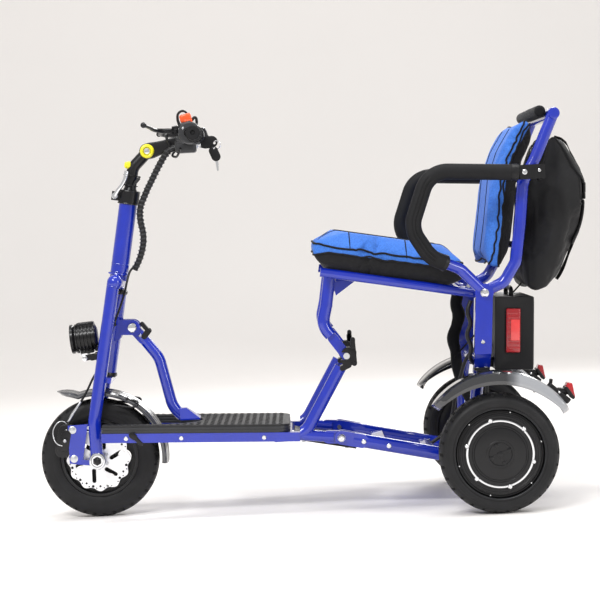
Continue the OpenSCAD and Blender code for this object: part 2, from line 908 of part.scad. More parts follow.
back_route = [back_at, [410, 483], [437, 525], [450, 607], [460, 693], [489, 744], [531, 836]];

module backrest_tubes() {
    route = [for (p = back_route) xz(p, back_y)];
    color(blue) {
        both() difference() {
            union() {
                bent_tube(route, back_tube_d, 34);
                y_disc(back_at, back_y - back_eye_w, back_y + back_eye_w, 30);
            }
            y_disc(back_at, 100, 300, 10 + 2 * run_gap);
        }
        y_disc(back_route[6], -back_y - 12, back_y + 12, back_tube_d);
        y_disc([444, 560], -back_y, back_y, 16);
    }
}

// Thick pad in front of the backrest tubes
module backrest_pad() {
    color(light_blue) y_plate(-168, 168) hull() {
        translate([392, 520]) circle(r = 13, $fn = 32);
        translate([412, 610]) circle(r = 16, $fn = 32);
        translate([425, 700]) circle(r = 16, $fn = 32);
        translate([443, 752]) circle(r = 14, $fn = 32);
        translate([486, 822]) circle(r = 11, $fn = 32);
        translate([404, 522]) circle(r = 13, $fn = 32);
    }
}

module bag() {
    color(soft_black) y_plate(-150, 150) polygon([[472, 560], [482, 690], [510, 742], [549, 812],
        [560, 814], [621, 712], [622, 640], [578, 540], [545, 452], [505, 444], [462, 500]]);
}

deck_rails();
deck_cross_tubes();
deck_mat();
down_tube();
seat_legs();
knee_sockets();
fold_pivot_bolt();
belly_cover();
knee_levers();
head_tube();
headset_bearings();
latch_bracket();
column_latch();
fork();
column_tube();
column_collar();
front_axle();
front_fender();
caliper_plate();
brake_caliper();
headlight_bracket();
brake_cable();
headlight_shell();
headlight_lens();
collar_lever();
stem_post();
cable_post();
stem_arm();
handlebar();
grip_left();
control_pod();
lever_perches();
cable_bars();
brake_lever_left();
brake_lever_right();
throttle_grip();
ignition_key();
key_fob();
power_switch();
front_tyre();
front_rim();
brake_rotor();
rear_frame();
frame_bolts();
seat_posts();
armrest_ends();
armrest_pads();
rear_fenders();
reflectors();
battery_case();
tail_lamp();
seat_rails();
seat_cushion();
rear_tyre(-1);  // rear_tyre_left
rear_motor(-1);  // rear_motor_left
rear_tyre(1);  // rear_tyre_right
rear_motor(1);  // rear_motor_right
backrest_tubes();
backrest_pad();
bag();
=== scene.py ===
"""Looks of a folding three-wheel mobility scooter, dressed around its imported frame.

Sizes are in millimetres in the machine's own frame: the front wheel points to -X, the
rider's left is -Y and Z is up. A mesh becomes metres when its piece is finished.
"""

from __future__ import annotations

import json
import logging
import math
import sys
from collections.abc import Iterable
from dataclasses import dataclass
from enum import Enum

import bmesh
import bpy
from mathutils import Matrix, Vector, noise
from mathutils.bvhtree import BVHTree

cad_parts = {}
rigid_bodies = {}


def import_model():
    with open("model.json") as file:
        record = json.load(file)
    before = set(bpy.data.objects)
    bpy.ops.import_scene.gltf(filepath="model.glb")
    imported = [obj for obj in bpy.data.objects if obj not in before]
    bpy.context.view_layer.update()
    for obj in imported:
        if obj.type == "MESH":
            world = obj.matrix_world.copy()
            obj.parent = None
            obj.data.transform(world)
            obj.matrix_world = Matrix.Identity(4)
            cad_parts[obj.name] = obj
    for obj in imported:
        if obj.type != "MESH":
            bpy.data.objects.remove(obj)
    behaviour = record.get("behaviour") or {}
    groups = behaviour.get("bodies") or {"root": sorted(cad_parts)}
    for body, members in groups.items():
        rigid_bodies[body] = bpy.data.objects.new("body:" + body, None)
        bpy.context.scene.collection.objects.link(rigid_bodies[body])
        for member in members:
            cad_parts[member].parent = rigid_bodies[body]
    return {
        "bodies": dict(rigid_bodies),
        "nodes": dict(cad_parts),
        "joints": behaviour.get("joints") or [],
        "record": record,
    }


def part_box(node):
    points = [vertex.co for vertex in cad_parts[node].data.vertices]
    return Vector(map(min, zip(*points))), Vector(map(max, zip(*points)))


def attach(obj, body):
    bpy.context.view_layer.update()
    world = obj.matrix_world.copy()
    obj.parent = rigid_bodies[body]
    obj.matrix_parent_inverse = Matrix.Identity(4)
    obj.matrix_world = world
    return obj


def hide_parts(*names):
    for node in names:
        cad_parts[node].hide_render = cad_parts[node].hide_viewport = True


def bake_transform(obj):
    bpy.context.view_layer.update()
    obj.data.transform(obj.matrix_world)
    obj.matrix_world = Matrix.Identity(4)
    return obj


MM = 0.001
CLOTH_FRAMES = 20
WELD = 0.001
CLEAN = 0.004
COAT_ROUGH = 0.05
STEER_LEAN = 10.6
STEER_FOOT = (-502.0, 0.0, 132.0)
LOG = logging.getLogger("scooter")

Colour = tuple[float, float, float]
Pair = tuple[float, float]
Triple = tuple[float, float, float]


class Side(Enum):
    """The two sides of the machine, as the sign of Y."""

    LEFT = -1
    RIGHT = 1

    @property
    def word(self) -> str:
        """The side as it ends a piece's name."""
        return self.name.lower()


class Grain(Enum):
    """The fine relief on a surface."""

    PEEL = "peel"
    MOULDED = "moulded"
    PORES = "pores"
    BRUSHED = "brushed"
    WEAVE = "weave"
    MESH = "mesh"


# ---------- shaders ----------


class Expr:
    """A number inside a shader, on which Python's sums add Math nodes."""

    def __init__(self, graph: Graph, socket: bpy.types.NodeSocket) -> None:
        """Wraps a socket.

        Args:
            graph: the shader that the socket belongs to.
            socket: an output socket that carries a number.
        """
        self.graph = graph
        self.socket = socket

    def _math(self, operation: str, first: Expr | float, second: Expr | float = 0.0) -> Expr:
        """Adds one Math node.

        Args:
            operation: the node's operation.
            first: the first value.
            second: the second value.

        Returns:
            The node's result.
        """
        made = self.graph.add("ShaderNodeMath", {"operation": operation}, {0: first, 1: second})
        return Expr(self.graph, made.outputs[0])

    def __add__(self, other: Expr | float) -> Expr:
        """Sum."""
        return self._math("ADD", self, other)

    __radd__ = __add__

    def __sub__(self, other: Expr | float) -> Expr:
        """Difference."""
        return self._math("SUBTRACT", self, other)

    def __rsub__(self, other: float) -> Expr:
        """Difference from a number."""
        return self._math("SUBTRACT", other, self)

    def __mul__(self, other: Expr | float) -> Expr:
        """Product."""
        return self._math("MULTIPLY", self, other)

    __rmul__ = __mul__

    def __pow__(self, other: float) -> Expr:
        """Power."""
        return self._math("POWER", self, other)

    def above(self, other: Expr | float) -> Expr:
        """One where this is greater than the other, and zero elsewhere."""
        return self._math("GREATER_THAN", self, other)

    def highest(self, other: Expr | float) -> Expr:
        """The greater of the two."""
        return self._math("MAXIMUM", self, other)

    def wave(self) -> Expr:
        """Sine."""
        return self._math("SINE", self)


class Graph:
    """The node tree of one material, with its Principled shader."""

    def __init__(self, name: str) -> None:
        """Starts an empty material.

        Args:
            name: the material's name.
        """
        self.material = bpy.data.materials.new(name)
        self.material.use_nodes = True
        self.tree = self.material.node_tree
        self.tree.nodes.clear()
        self.shader = self.add("ShaderNodeBsdfPrincipled", {}, {})
        self.add("ShaderNodeOutputMaterial", {}, {"Surface": self.shader.outputs[0]})

    def add(self, kind: str, settings: dict, values: dict) -> bpy.types.Node:
        """Adds a node.

        Args:
            kind: the node's type.
            settings: what is set on the node first; "stops" fills a colour ramp.
            values: a number, colour, socket or Expr for each input socket.

        Returns:
            The node.
        """
        node = self.tree.nodes.new(kind)
        for key, value in settings.items():
            if key == "stops":
                self._fill_ramp(node, value)
            else:
                setattr(node, key, value)
        for key, value in values.items():
            socket = node.inputs[key]
            if isinstance(value, Expr):
                value = value.socket
            if isinstance(value, bpy.types.NodeSocket):
                self.tree.links.new(value, socket)
            else:
                socket.default_value = value
        return node

    @staticmethod
    def _fill_ramp(node: bpy.types.Node, stops: list[tuple[float, Colour]]) -> None:
        """Sets the stops of a colour ramp."""
        elements = node.color_ramp.elements
        while len(elements) < len(stops):
            elements.new(0.5)
        for element, (place, colour) in zip(elements, stops):
            element.position = place
            element.color = (*colour, 1)

    def place(self, scale: Triple = (1, 1, 1)) -> bpy.types.NodeSocket:
        """Object coordinates, stretched.

        Args:
            scale: how much denser a pattern gets along each axis.

        Returns:
            The vector socket.
        """
        coords = self.add("ShaderNodeTexCoord", {}, {}).outputs["Object"]
        return self.add("ShaderNodeMapping", {}, {"Vector": coords, "Scale": scale}).outputs[0]

    def axes(self) -> list[Expr]:
        """The three Object coordinates in millimetres, as numbers."""
        split = self.add("ShaderNodeSeparateXYZ", {}, {0: self.place((1 / MM,) * 3)})
        return [Expr(self, split.outputs[i]) for i in range(3)]

    def noise(self, size: float, detail: float = 3, stretch: Triple = (1, 1, 1)) -> Expr:
        """Soft noise.

        Args:
            size: size of its features, in millimetres.
            detail: octaves of finer noise.
            stretch: how much denser it is along each axis.

        Returns:
            Values about 0.5.
        """
        values = {"Vector": self.place(stretch), "Scale": 1 / (size * MM), "Detail": detail}
        return Expr(self, self.add("ShaderNodeTexNoise", {}, values).outputs[0])

    def cells(self, size: float) -> Expr:
        """Distance to the nearest of scattered points, for pores and studs."""
        values = {"Vector": self.place(), "Scale": 1 / (size * MM)}
        return Expr(self, self.add("ShaderNodeTexVoronoi", {}, values).outputs["Distance"])

    def ramp(self, value: Expr, stops: list[tuple[float, Colour]]) -> bpy.types.NodeSocket:
        """A colour ramp over a number."""
        return self.add("ShaderNodeValToRGB", {"stops": stops}, {0: value}).outputs[0]

    def mix(self, mask: Expr, low: object, high: object) -> bpy.types.NodeSocket:
        """Mixes two colours.

        Args:
            mask: zero gives low, one gives high.
            low: a colour or a colour socket.
            high: a colour or a colour socket.

        Returns:
            The colour socket.
        """
        settings = {"data_type": "RGBA"}
        pair = [(*c, 1) if isinstance(c, tuple) else c for c in (low, high)]
        node = self.add("ShaderNodeMix", settings, {0: mask, 6: pair[0], 7: pair[1]})
        return node.outputs[2]

    def bump(self, height: Expr, depth: float) -> bpy.types.NodeSocket:
        """A normal from a height.

        Args:
            height: the relief, about zero to one.
            depth: how deep one is, in millimetres.

        Returns:
            The normal socket.
        """
        values = {"Height": height, "Distance": depth * MM, "Strength": 1.0}
        return self.add("ShaderNodeBump", {}, values).outputs[0]

    def grain(self, kind: Grain, size: float) -> Expr:
        """The height of a surface's fine relief.

        Args:
            kind: which relief.
            size: its pitch in millimetres.

        Returns:
            A height from about zero to one.
        """
        if kind is Grain.PORES:
            return self.cells(size) ** 0.5
        if kind is Grain.BRUSHED:
            return self.noise(size, 4, (0.05, 1, 1))
        if kind in (Grain.WEAVE, Grain.MESH):
            x, y, z = self.axes()
            turns = 2 * math.pi / size
            warp = ((x + z * 0.62) * turns).wave()
            weft = ((y + z * 0.78) * turns).wave()
            if kind is Grain.MESH:
                return (warp * weft).highest(0.0) + self.noise(size * 3, 2) * 0.4
            return warp * weft * 0.5 + self.noise(size * 6, 3)
        return self.noise(size, 2 if kind is Grain.PEEL else 5)


@dataclass(frozen=True)
class Finish:
    """One finish: its colour, its gloss and its fine relief."""

    slot: str
    colour: Colour
    rough: float
    grain: Grain
    size: float
    depth: float
    metal: float = 0.0
    coat: float = 0.0
    sheen: float = 0.0
    mottle: float = 0.12
    mottle_size: float = 35.0
    alpha: float = 1.0
    spec: float = 0.5
    name: str = ""

    def graph(self) -> Graph:
        """Builds the shader.

        Returns:
            The graph, so that a special finish can go on from it.
        """
        graph = Graph(self.name or self.slot)
        shader = graph.shader
        patches = graph.noise(self.mottle_size, 4)
        dark = tuple(c * (1 - self.mottle) for c in self.colour)
        light = tuple(min(1.0, c * (1 + self.mottle)) for c in self.colour)
        colour = graph.ramp(patches, [(0.3, dark), (0.7, light)])
        graph.tree.links.new(colour, shader.inputs["Base Color"])
        gloss = graph.noise(self.mottle_size / 4, 5) * (self.rough * 0.3) + self.rough * 0.85
        graph.tree.links.new(gloss.socket, shader.inputs["Roughness"])
        height = graph.grain(self.grain, self.size)
        graph.tree.links.new(graph.bump(height, self.depth), shader.inputs["Normal"])
        shader.inputs["Metallic"].default_value = self.metal
        shader.inputs["Coat Weight"].default_value = self.coat
        shader.inputs["Coat Roughness"].default_value = COAT_ROUGH
        shader.inputs["Sheen Weight"].default_value = self.sheen
        shader.inputs["Alpha"].default_value = self.alpha
        shader.inputs["Specular IOR Level"].default_value = self.spec
        return graph

    def recolour(self, graph: Graph, colour: bpy.types.NodeSocket) -> None:
        """Gives the shader another colour than the finish's own."""
        graph.tree.links.new(colour, graph.shader.inputs["Base Color"])


BLUE = Finish("blue_paint", (0.003, 0.019, 0.36), 0.20, Grain.PEEL, 9, 0.05, coat=0.7, mottle=0.08)
BLACK_METAL = Finish("black_metal", (0.007, 0.007, 0.008), 0.30, Grain.PEEL, 3, 0.03, spec=0.3,
    coat=0.1)
CHROME = Finish("steel", (0.78, 0.79, 0.81), 0.16, Grain.BRUSHED, 2, 0.01, metal=1.0, mottle=0.05)
STEEL = Finish("steel", (0.62, 0.63, 0.65), 0.34, Grain.BRUSHED, 1, 0.02, metal=1.0, name="zinc")
ROTOR = Finish("rotor_steel", (0.92, 0.93, 0.95), 0.34, Grain.BRUSHED, 1, 0.02, metal=0.75)
TYRE = Finish("tyre", (0.010, 0.010, 0.011), 0.52, Grain.MOULDED, 2.5, 0.10, spec=0.28, mottle=0.25)
MAT = Finish("mat_rubber", (0.016, 0.016, 0.017), 0.58, Grain.MOULDED, 1.6, 0.15, spec=0.35,
    mottle=0.2)
GRIP = Finish("grip_foam", (0.009, 0.009, 0.010), 0.68, Grain.PORES, 1.4, 0.15, spec=0.22)
PLASTIC = Finish("black_plastic", (0.006, 0.006, 0.007), 0.42, Grain.MOULDED, 0.9, 0.06, spec=0.3)
GREY_PLASTIC = Finish("black_plastic", (0.030, 0.031, 0.034), 0.38, Grain.MOULDED, 0.9, 0.05,
    spec=0.4, name="grey_plastic")
SMOKE = Finish("smoke_plastic", (0.055, 0.057, 0.063), 0.12, Grain.PEEL, 14, 0.06, coat=1.0)
YELLOW = Finish("yellow_plastic", (0.80, 0.72, 0.02), 0.30, Grain.PEEL, 4, 0.03, mottle=0.05)
RED_LENS = Finish("red_lens", (0.42, 0.004, 0.010), 0.14, Grain.PORES, 3.2, 0.5, coat=0.8)
ORANGE = Finish("orange_plastic", (0.85, 0.10, 0.02), 0.28, Grain.MOULDED, 1.2, 0.03)
GLASS = Finish("lamp_glass", (0.80, 0.83, 0.86), 0.06, Grain.PORES, 4, 0.6, coat=1.0, alpha=0.35)
SHEATH = Finish("cable_sheath", (0.007, 0.007, 0.008), 0.38, Grain.PEEL, 3, 0.05, spec=0.35)
FABRIC = Finish("black_fabric", (0.007, 0.007, 0.008), 0.82, Grain.WEAVE, 1.4, 0.12, spec=0.2,
    sheen=0.06)
NYLON = Finish("black_fabric", (0.008, 0.008, 0.009), 0.62, Grain.WEAVE, 1.0, 0.10, spec=0.25,
    sheen=0.05, name="bag_nylon")
GLOW = Finish("red_lens", (1.0, 0.05, 0.05), 0.22, Grain.PORES, 2, 0.3, coat=1.0, name="lamp_core")


@dataclass(frozen=True)
class GuardFinish(Finish):
    """Smoked plastic with painted light: dark in front and pale towards its rear end, where light
    shows through it.
    """

    # Painted light: the pale rear colour stands in for light shining through and off the smoked
    # plastic.
    tail: Colour = (0.30, 0.31, 0.33)
    dark_to: float = 395.0
    light_from: float = 425.0

    def graph(self) -> Graph:
        """Builds the shader with its painted change from shade to light along the machine."""
        graph = super().graph()
        x, _, _ = graph.axes()
        # Painted light: the colour ramps from dark in front to the pale rear colour, with noisy
        # streaks where it changes.
        share = (x - self.dark_to) * (1 / (self.light_from - self.dark_to))
        lit_streaks = graph.noise(16, 3, (0.3, 1, 1)) * 0.25
        self.recolour(graph, graph.ramp(share + lit_streaks - 0.12,
            [(0.0, self.colour), (0.5, (0.10, 0.105, 0.115)), (1.0, self.tail)]))
        return graph


GUARD = GuardFinish("smoke_plastic", (0.022, 0.023, 0.026), 0.12, Grain.PEEL, 14, 0.05, coat=1.0,
    name="guard_plastic")


@dataclass(frozen=True)
class FacedFinish(Finish):
    """Black cloth with a blue face, where the highest of some planes is above zero."""

    face: Colour = (0.045, 0.17, 0.60)
    planes: tuple[Triple, ...] = ()

    def graph(self) -> Graph:
        """Builds the shader with its blue face."""
        graph = super().graph()
        x, _, z = graph.axes()
        levels = [x * along + z * up + start for along, up, start in self.planes]
        reach = levels[0].highest(levels[-1])
        tone = graph.ramp(graph.noise(3, 4), [(0.3, tuple(c * 0.8 for c in self.face)),
            (0.7, tuple(c * 1.15 for c in self.face))])
        self.recolour(graph, graph.mix(reach.above(0.0), self.colour, tone))
        return graph


SEAT_CLOTH = FacedFinish("blue_fabric", (0.007, 0.007, 0.008), 0.80, Grain.MESH, 2.2, 0.22,
    spec=0.25, sheen=0.1, name="seat_cloth", planes=((0.186, 1.0, -572.8), (-0.114, 1.0, -560.8)))
BACK_CLOTH = FacedFinish("blue_fabric", (0.007, 0.007, 0.008), 0.80, Grain.MESH, 2.2, 0.22,
    spec=0.25, sheen=0.1, name="back_cloth", planes=((-1.0, 0.151, 322.6), (-1.0, 0.614, -15.4)))


class Finishes:
    """Makes each finish's material once."""

    def __init__(self) -> None:
        """Starts with no materials."""
        self._made: dict[Finish, bpy.types.Material] = {}

    def material(self, finish: Finish) -> bpy.types.Material:
        """The material of a finish.

        Args:
            finish: the finish wanted.

        Returns:
            Its material, made on the first call.
        """
        if finish not in self._made:
            self._made[finish] = finish.graph().material
        return self._made[finish]


FINISHES = Finishes()


# ---------- shapes ----------


def fillet(points: list[Vector], bend: float, steps: int = 8, closed: bool = False) -> list[Vector]:
    """Rounds the corners of a route.

    Args:
        points: the route's corners.
        bend: radius of the arc at each corner.
        steps: straight pieces in each arc.
        closed: whether the route ends where it starts.

    Returns:
        The points of the rounded route.
    """
    route = []
    count = len(points)
    for i, point in enumerate(points):
        if not closed and i in (0, count - 1):
            route.append(Vector(point))
            continue
        back = (Vector(points[i - 1]) - point).normalized()
        on = (Vector(points[(i + 1) % count]) - point).normalized()
        half = (math.pi - back.angle(on)) / 2
        cut = bend * math.tan(half)
        centre = point + (back + on).normalized() * bend / math.cos(half)
        start = (point + back * cut - centre).normalized()
        finish = (point + on * cut - centre).normalized()
        route += [centre + start.slerp(finish, k / steps) * bend for k in range(steps + 1)]
    return route


def at(x: float, y: float, z: float) -> Vector:
    """A point, in millimetres."""
    return Vector((x, y, z))


def around(centre: Vector, radius: float, degrees: float, y: float) -> Vector:
    """A point on a circle in X and Z, where 0 degrees points to +X."""
    turn = math.radians(degrees)
    return at(centre.x + radius * math.cos(turn), y, centre.z + radius * math.sin(turn))


def circle(x: float, z: float, radius: float, count: int = 24) -> list[Pair]:
    """A circle as an outline."""
    turns = [2 * math.pi * k / count for k in range(count)]
    return [(x + radius * math.cos(t), z + radius * math.sin(t)) for t in turns]


def capsule(a: Pair, b: Pair, width: float, count: int = 10) -> list[Pair]:
    """The outline of a strip with round ends, from a to b."""
    lean = math.atan2(b[1] - a[1], b[0] - a[0])
    outline = []
    for end, start in ((b, lean - math.pi / 2), (a, lean + math.pi / 2)):
        for k in range(count + 1):
            t = start + math.pi * k / count
            outline.append((end[0] + width / 2 * math.cos(t), end[1] + width / 2 * math.sin(t)))
    return outline


class Shape:
    """A mesh in the making, in millimetres."""

    def __init__(self) -> None:
        """Starts empty."""
        self.bm = bmesh.new()

    def chain(self, points: Iterable[Vector], closed: bool = False) -> tuple[list, list]:
        """Adds a row of vertices, with an edge between each two neighbours.

        Args:
            points: their places.
            closed: whether an edge joins the last to the first.

        Returns:
            The vertices and the edges.
        """
        verts = [self.bm.verts.new(point) for point in points]
        edges = [self.bm.edges.new(pair) for pair in zip(verts, verts[1:])]
        if closed:
            edges.append(self.bm.edges.new((verts[-1], verts[0])))
        return verts, edges

    def grown(self, edges: list[bmesh.types.BMEdge]) -> tuple[list, list]:
        """Pulls a new row out of an open edge; returns its vertices and its edges."""
        made = bmesh.ops.extrude_edge_only(self.bm, edges=edges)["geom"]
        verts = [v for v in made if isinstance(v, bmesh.types.BMVert)]
        return verts, [e for e in made if isinstance(e, bmesh.types.BMEdge)
            and set(e.verts) <= set(verts)]

    def bar(self, start: Vector, end: Vector, radius: float, tip: float | None = None,
            sides: int = 28, chamfer: float = 0.0) -> Shape:
        """Adds a round bar, or a cone or a hexagon.

        Args:
            start: middle of its first end.
            end: middle of its last end.
            radius: radius at the start.
            tip: radius at the end, if it is another.
            sides: how many sides it has.
            chamfer: width of the bevel round its ends.

        Returns:
            The shape.
        """
        axis = end - start
        turn = axis.to_track_quat("Z", "Y").to_matrix().to_4x4()
        made = bmesh.ops.create_cone(self.bm, cap_ends=True, segments=sides, radius1=radius,
            radius2=radius if tip is None else tip, depth=axis.length,
            matrix=Matrix.Translation((start + end) / 2) @ turn)
        if chamfer:
            edges = {e for v in made["verts"] for e in v.link_edges if len(e.link_faces) == 2
                and any(len(f.verts) > 4 for f in e.link_faces)}
            self._bevel(list(edges), chamfer, 2)
        return self

    def block(self, centre: Vector, size: Triple, edge: float = 0.0, tilt: float = 0.0,
            lean: float = 0.0) -> Shape:
        """Adds a block with rounded edges.

        Args:
            centre: its middle.
            size: its length along each axis.
            edge: radius of its edges.
            tilt: turn about Y, in degrees.
            lean: turn about X, in degrees.

        Returns:
            The shape.
        """
        turn = Matrix.Rotation(math.radians(tilt), 4, "Y") @ Matrix.Rotation(math.radians(lean), 4,
            "X")
        matrix = Matrix.Translation(centre) @ turn @ Matrix.Diagonal((*size, 1))
        made = bmesh.ops.create_cube(self.bm, size=1, matrix=matrix)
        if edge:
            edges = {e for v in made["verts"] for e in v.link_edges}
            self._bevel(list(edges), edge, 3)
        return self

    def ball(self, centre: Vector, radius: float) -> Shape:
        """Adds a ball."""
        bmesh.ops.create_uvsphere(self.bm, u_segments=24, v_segments=14, radius=radius,
            matrix=Matrix.Translation(centre))
        return self

    def turned(self, centre: Vector, axis: Vector, profile: list[Pair], steps: int = 72,
            closed: bool = False) -> Shape:
        """Turns a profile about an axis.

        Args:
            centre: a point on the axis.
            axis: its direction.
            profile: pairs of distance along the axis and radius.
            steps: straight pieces round the circle.
            closed: whether the profile is a loop.

        Returns:
            The shape.
        """
        along = axis.normalized()
        side = along.orthogonal().normalized()
        row = (centre + along * h + side * r for h, r in profile)
        verts, edges = self.chain(row, closed)
        bmesh.ops.spin(self.bm, geom=verts + edges, cent=centre, axis=along, angle=2 * math.pi,
            steps=steps, use_merge=True)
        bmesh.ops.remove_doubles(self.bm, verts=self.bm.verts, dist=WELD)
        return self

    def ring(self, centre: Vector, axis: Vector, radius: float, wire: float,
            steps: int = 48) -> Shape:
        """Adds a ring of round wire."""
        loop = [(wire * math.sin(a), radius + wire * math.cos(a)) for a
            in (k * math.pi / 5 for k in range(10))]
        return self.turned(centre, axis, loop, steps, closed=True)

    def arc(self, centre: Vector, section: list[Pair], start: float = 0.0, end: float = 360.0,
            steps: int = 72, closed: bool = False) -> Shape:
        """Turns a section about an axis along Y.

        Args:
            centre: a point on the axis.
            section: pairs of Y and radius.
            start: where it starts, in degrees from +X towards +Z.
            end: where it ends.
            steps: straight pieces along the arc.
            closed: whether the section is a loop.

        Returns:
            The shape.
        """
        row = (around(centre, r, start, centre.y + y) for y, r in section)
        verts, edges = self.chain(row, closed)
        whole = abs(end - start) > 359.9
        bmesh.ops.spin(self.bm, geom=verts + edges, cent=centre, axis=(0, -1, 0),
            angle=math.radians(end - start), steps=steps, use_merge=whole)
        bmesh.ops.remove_doubles(self.bm, verts=self.bm.verts, dist=WELD)
        return self

    def slab(self, outline: list[Vector], depth: Vector,
            holes: tuple[list[Vector], ...] = ()) -> Shape:
        """Adds a flat outline given a depth.

        Args:
            outline: its edge.
            depth: the way and the distance that it is pulled.
            holes: the edges of its holes.

        Returns:
            The shape.
        """
        if holes:
            edges = []
            for loop in (outline, *holes):
                edges += self.chain(loop, closed=True)[1]
            made = bmesh.ops.triangle_fill(self.bm, use_beauty=True, edges=edges)
            faces = [f for f in made["geom"] if isinstance(f, bmesh.types.BMFace)]
        else:
            faces = [self.bm.faces.new([self.bm.verts.new(point) for point in outline])]
        made = bmesh.ops.extrude_face_region(self.bm, geom=faces, use_keep_orig=True)
        verts = [v for v in made["geom"] if isinstance(v, bmesh.types.BMVert)]
        bmesh.ops.translate(self.bm, verts=verts, vec=depth)
        return self

    def plate(self, outline: list[Pair], y0: float, y1: float,
            holes: tuple[list[Pair], ...] = ()) -> Shape:
        """Adds a plate: an outline in X and Z, from y0 to y1."""
        loops = [[at(x, y0, z) for x, z in loop] for loop in (outline, *holes)]
        return self.slab(loops[0], at(0, y1 - y0, 0), tuple(loops[1:]))

    def screw(self, seat: Vector, axis: Vector, radius: float, height: float) -> Shape:
        """Adds a round screw head with a sunk socket, on its seat."""
        return self.turned(seat, axis, [(-1, 0), (-1, radius), (height * 0.55, radius),
            (height, radius * 0.72), (height, radius * 0.42), (height * 0.35, radius * 0.38),
            (height * 0.35, 0)], 24)

    def nut(self, seat: Vector, axis: Vector, radius: float, height: float) -> Shape:
        """Adds a flanged nut with the end of its bolt."""
        way = axis.normalized()
        self.turned(seat, way, [(-1, 0), (-1, radius * 1.35), (height * 0.12, radius * 1.35),
            (height * 0.3, radius * 1.05), (height * 0.3, 0)], 32)
        self.bar(seat + way * height * 0.2, seat + way * height, radius, sides=6,
            chamfer=radius * 0.1)
        return self.bar(seat + way * height * 0.9, seat + way * height * 1.3, radius * 0.52,
            chamfer=radius * 0.1)

    def swept(self, points: list[Vector], radius: float, sides: int = 12, closed: bool = False,
            radii: list[float] | None = None, straight: bool = False) -> Shape:
        """Adds a tube along a route.

        Args:
            points: the route.
            radius: the tube's radius.
            sides: how many sides it has, an even number from 4.
            closed: whether the route is a loop.
            radii: the radius at each point, as a share of the radius.
            straight: keeps the route's straight pieces, for one that is rounded already.

        Returns:
            The shape.
        """
        curve = bpy.data.curves.new("route", "CURVE")
        curve.dimensions = "3D"
        curve.bevel_depth = radius
        curve.bevel_resolution = max(0, (sides - 4) // 2)
        curve.use_fill_caps = not closed
        curve.resolution_u = 8
        spline = curve.splines.new("POLY" if straight else "BEZIER")
        knots = spline.points if straight else spline.bezier_points
        knots.add(len(points) - 1)
        spline.use_cyclic_u = closed
        for i, (knot, point) in enumerate(zip(knots, points)):
            knot.co = (*point, 1) if straight else point
            knot.radius = radii[i] if radii else 1.0
            if not straight:
                knot.handle_left_type = knot.handle_right_type = "AUTO"
        helper = bpy.data.objects.new("route", curve)
        bpy.context.scene.collection.objects.link(helper)
        graph = bpy.context.evaluated_depsgraph_get()
        mesh = bpy.data.meshes.new_from_object(helper.evaluated_get(graph))
        self.bm.from_mesh(mesh)
        bpy.data.objects.remove(helper)
        bpy.data.curves.remove(curve)
        bpy.data.meshes.remove(mesh)
        return self

    def soften(self, width: float, angle: float = 40.0, segments: int = 2) -> Shape:
        """Bevels every edge sharper than an angle in degrees."""
        limit = math.radians(angle)
        edges = [e for e in self.bm.edges if len(e.link_faces) == 2
            and e.calc_face_angle(0) > limit]
        self._bevel(edges, width, segments)
        return self

    def _bevel(self, edges: list[bmesh.types.BMEdge], width: float, segments: int) -> None:
        """Bevels some edges."""
        bmesh.ops.bevel(self.bm, geom=edges, offset=width, segments=segments, profile=0.5,
            affect="EDGES", material=-1, clamp_overlap=True)

    def sunk(self, faces: list[bmesh.types.BMFace], margin: float, depth: float) -> Shape:
        """Sinks some faces, each within its own margin; a negative depth raises them."""
        bmesh.ops.inset_individual(self.bm, faces=faces, thickness=margin, depth=-depth,
            use_even_offset=True)
        return self

    def piece(self, name: str, finish: Finish, body: str | None, replaces: tuple[str, ...] = (),
            crease: float = 32.0, wall: float = 0.0, levels: int = 0) -> bpy.types.Object:
        """Finishes the shape as a piece.

        Args:
            name: the piece's name.
            finish: what it is made of.
            body: the body that it rides on, or None.
            replaces: the nodes that it stands for.
            crease: the angle above which an edge stays sharp, in degrees.
            wall: thickness that an open sheet gets.
            levels: levels of subdivision.

        Returns:
            The object.
        """
        bmesh.ops.remove_doubles(self.bm, verts=self.bm.verts, dist=CLEAN)
        bmesh.ops.recalc_face_normals(self.bm, faces=self.bm.faces)
        bmesh.ops.scale(self.bm, vec=(MM,) * 3, verts=self.bm.verts)
        mesh = bpy.data.meshes.new(name)
        self.bm.to_mesh(mesh)
        self.bm.free()
        mesh.shade_smooth()
        mesh.set_sharp_from_angle(angle=math.radians(crease))
        mesh.materials.append(FINISHES.material(finish))
        made = bpy.data.objects.new(name, mesh)
        bpy.context.scene.collection.objects.link(made)
        if wall:
            solid = made.modifiers.new("wall", "SOLIDIFY")
            solid.thickness, solid.offset = wall * MM, 0.0
        if levels:
            smooth = made.modifiers.new("smooth", "SUBSURF")
            smooth.levels = smooth.render_levels = levels
        if body:
            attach(made, body)
        if replaces:
            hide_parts(*replaces)
        LOG.info("%-28s %7d vertices, on %s", name, len(mesh.vertices), body)
        return made


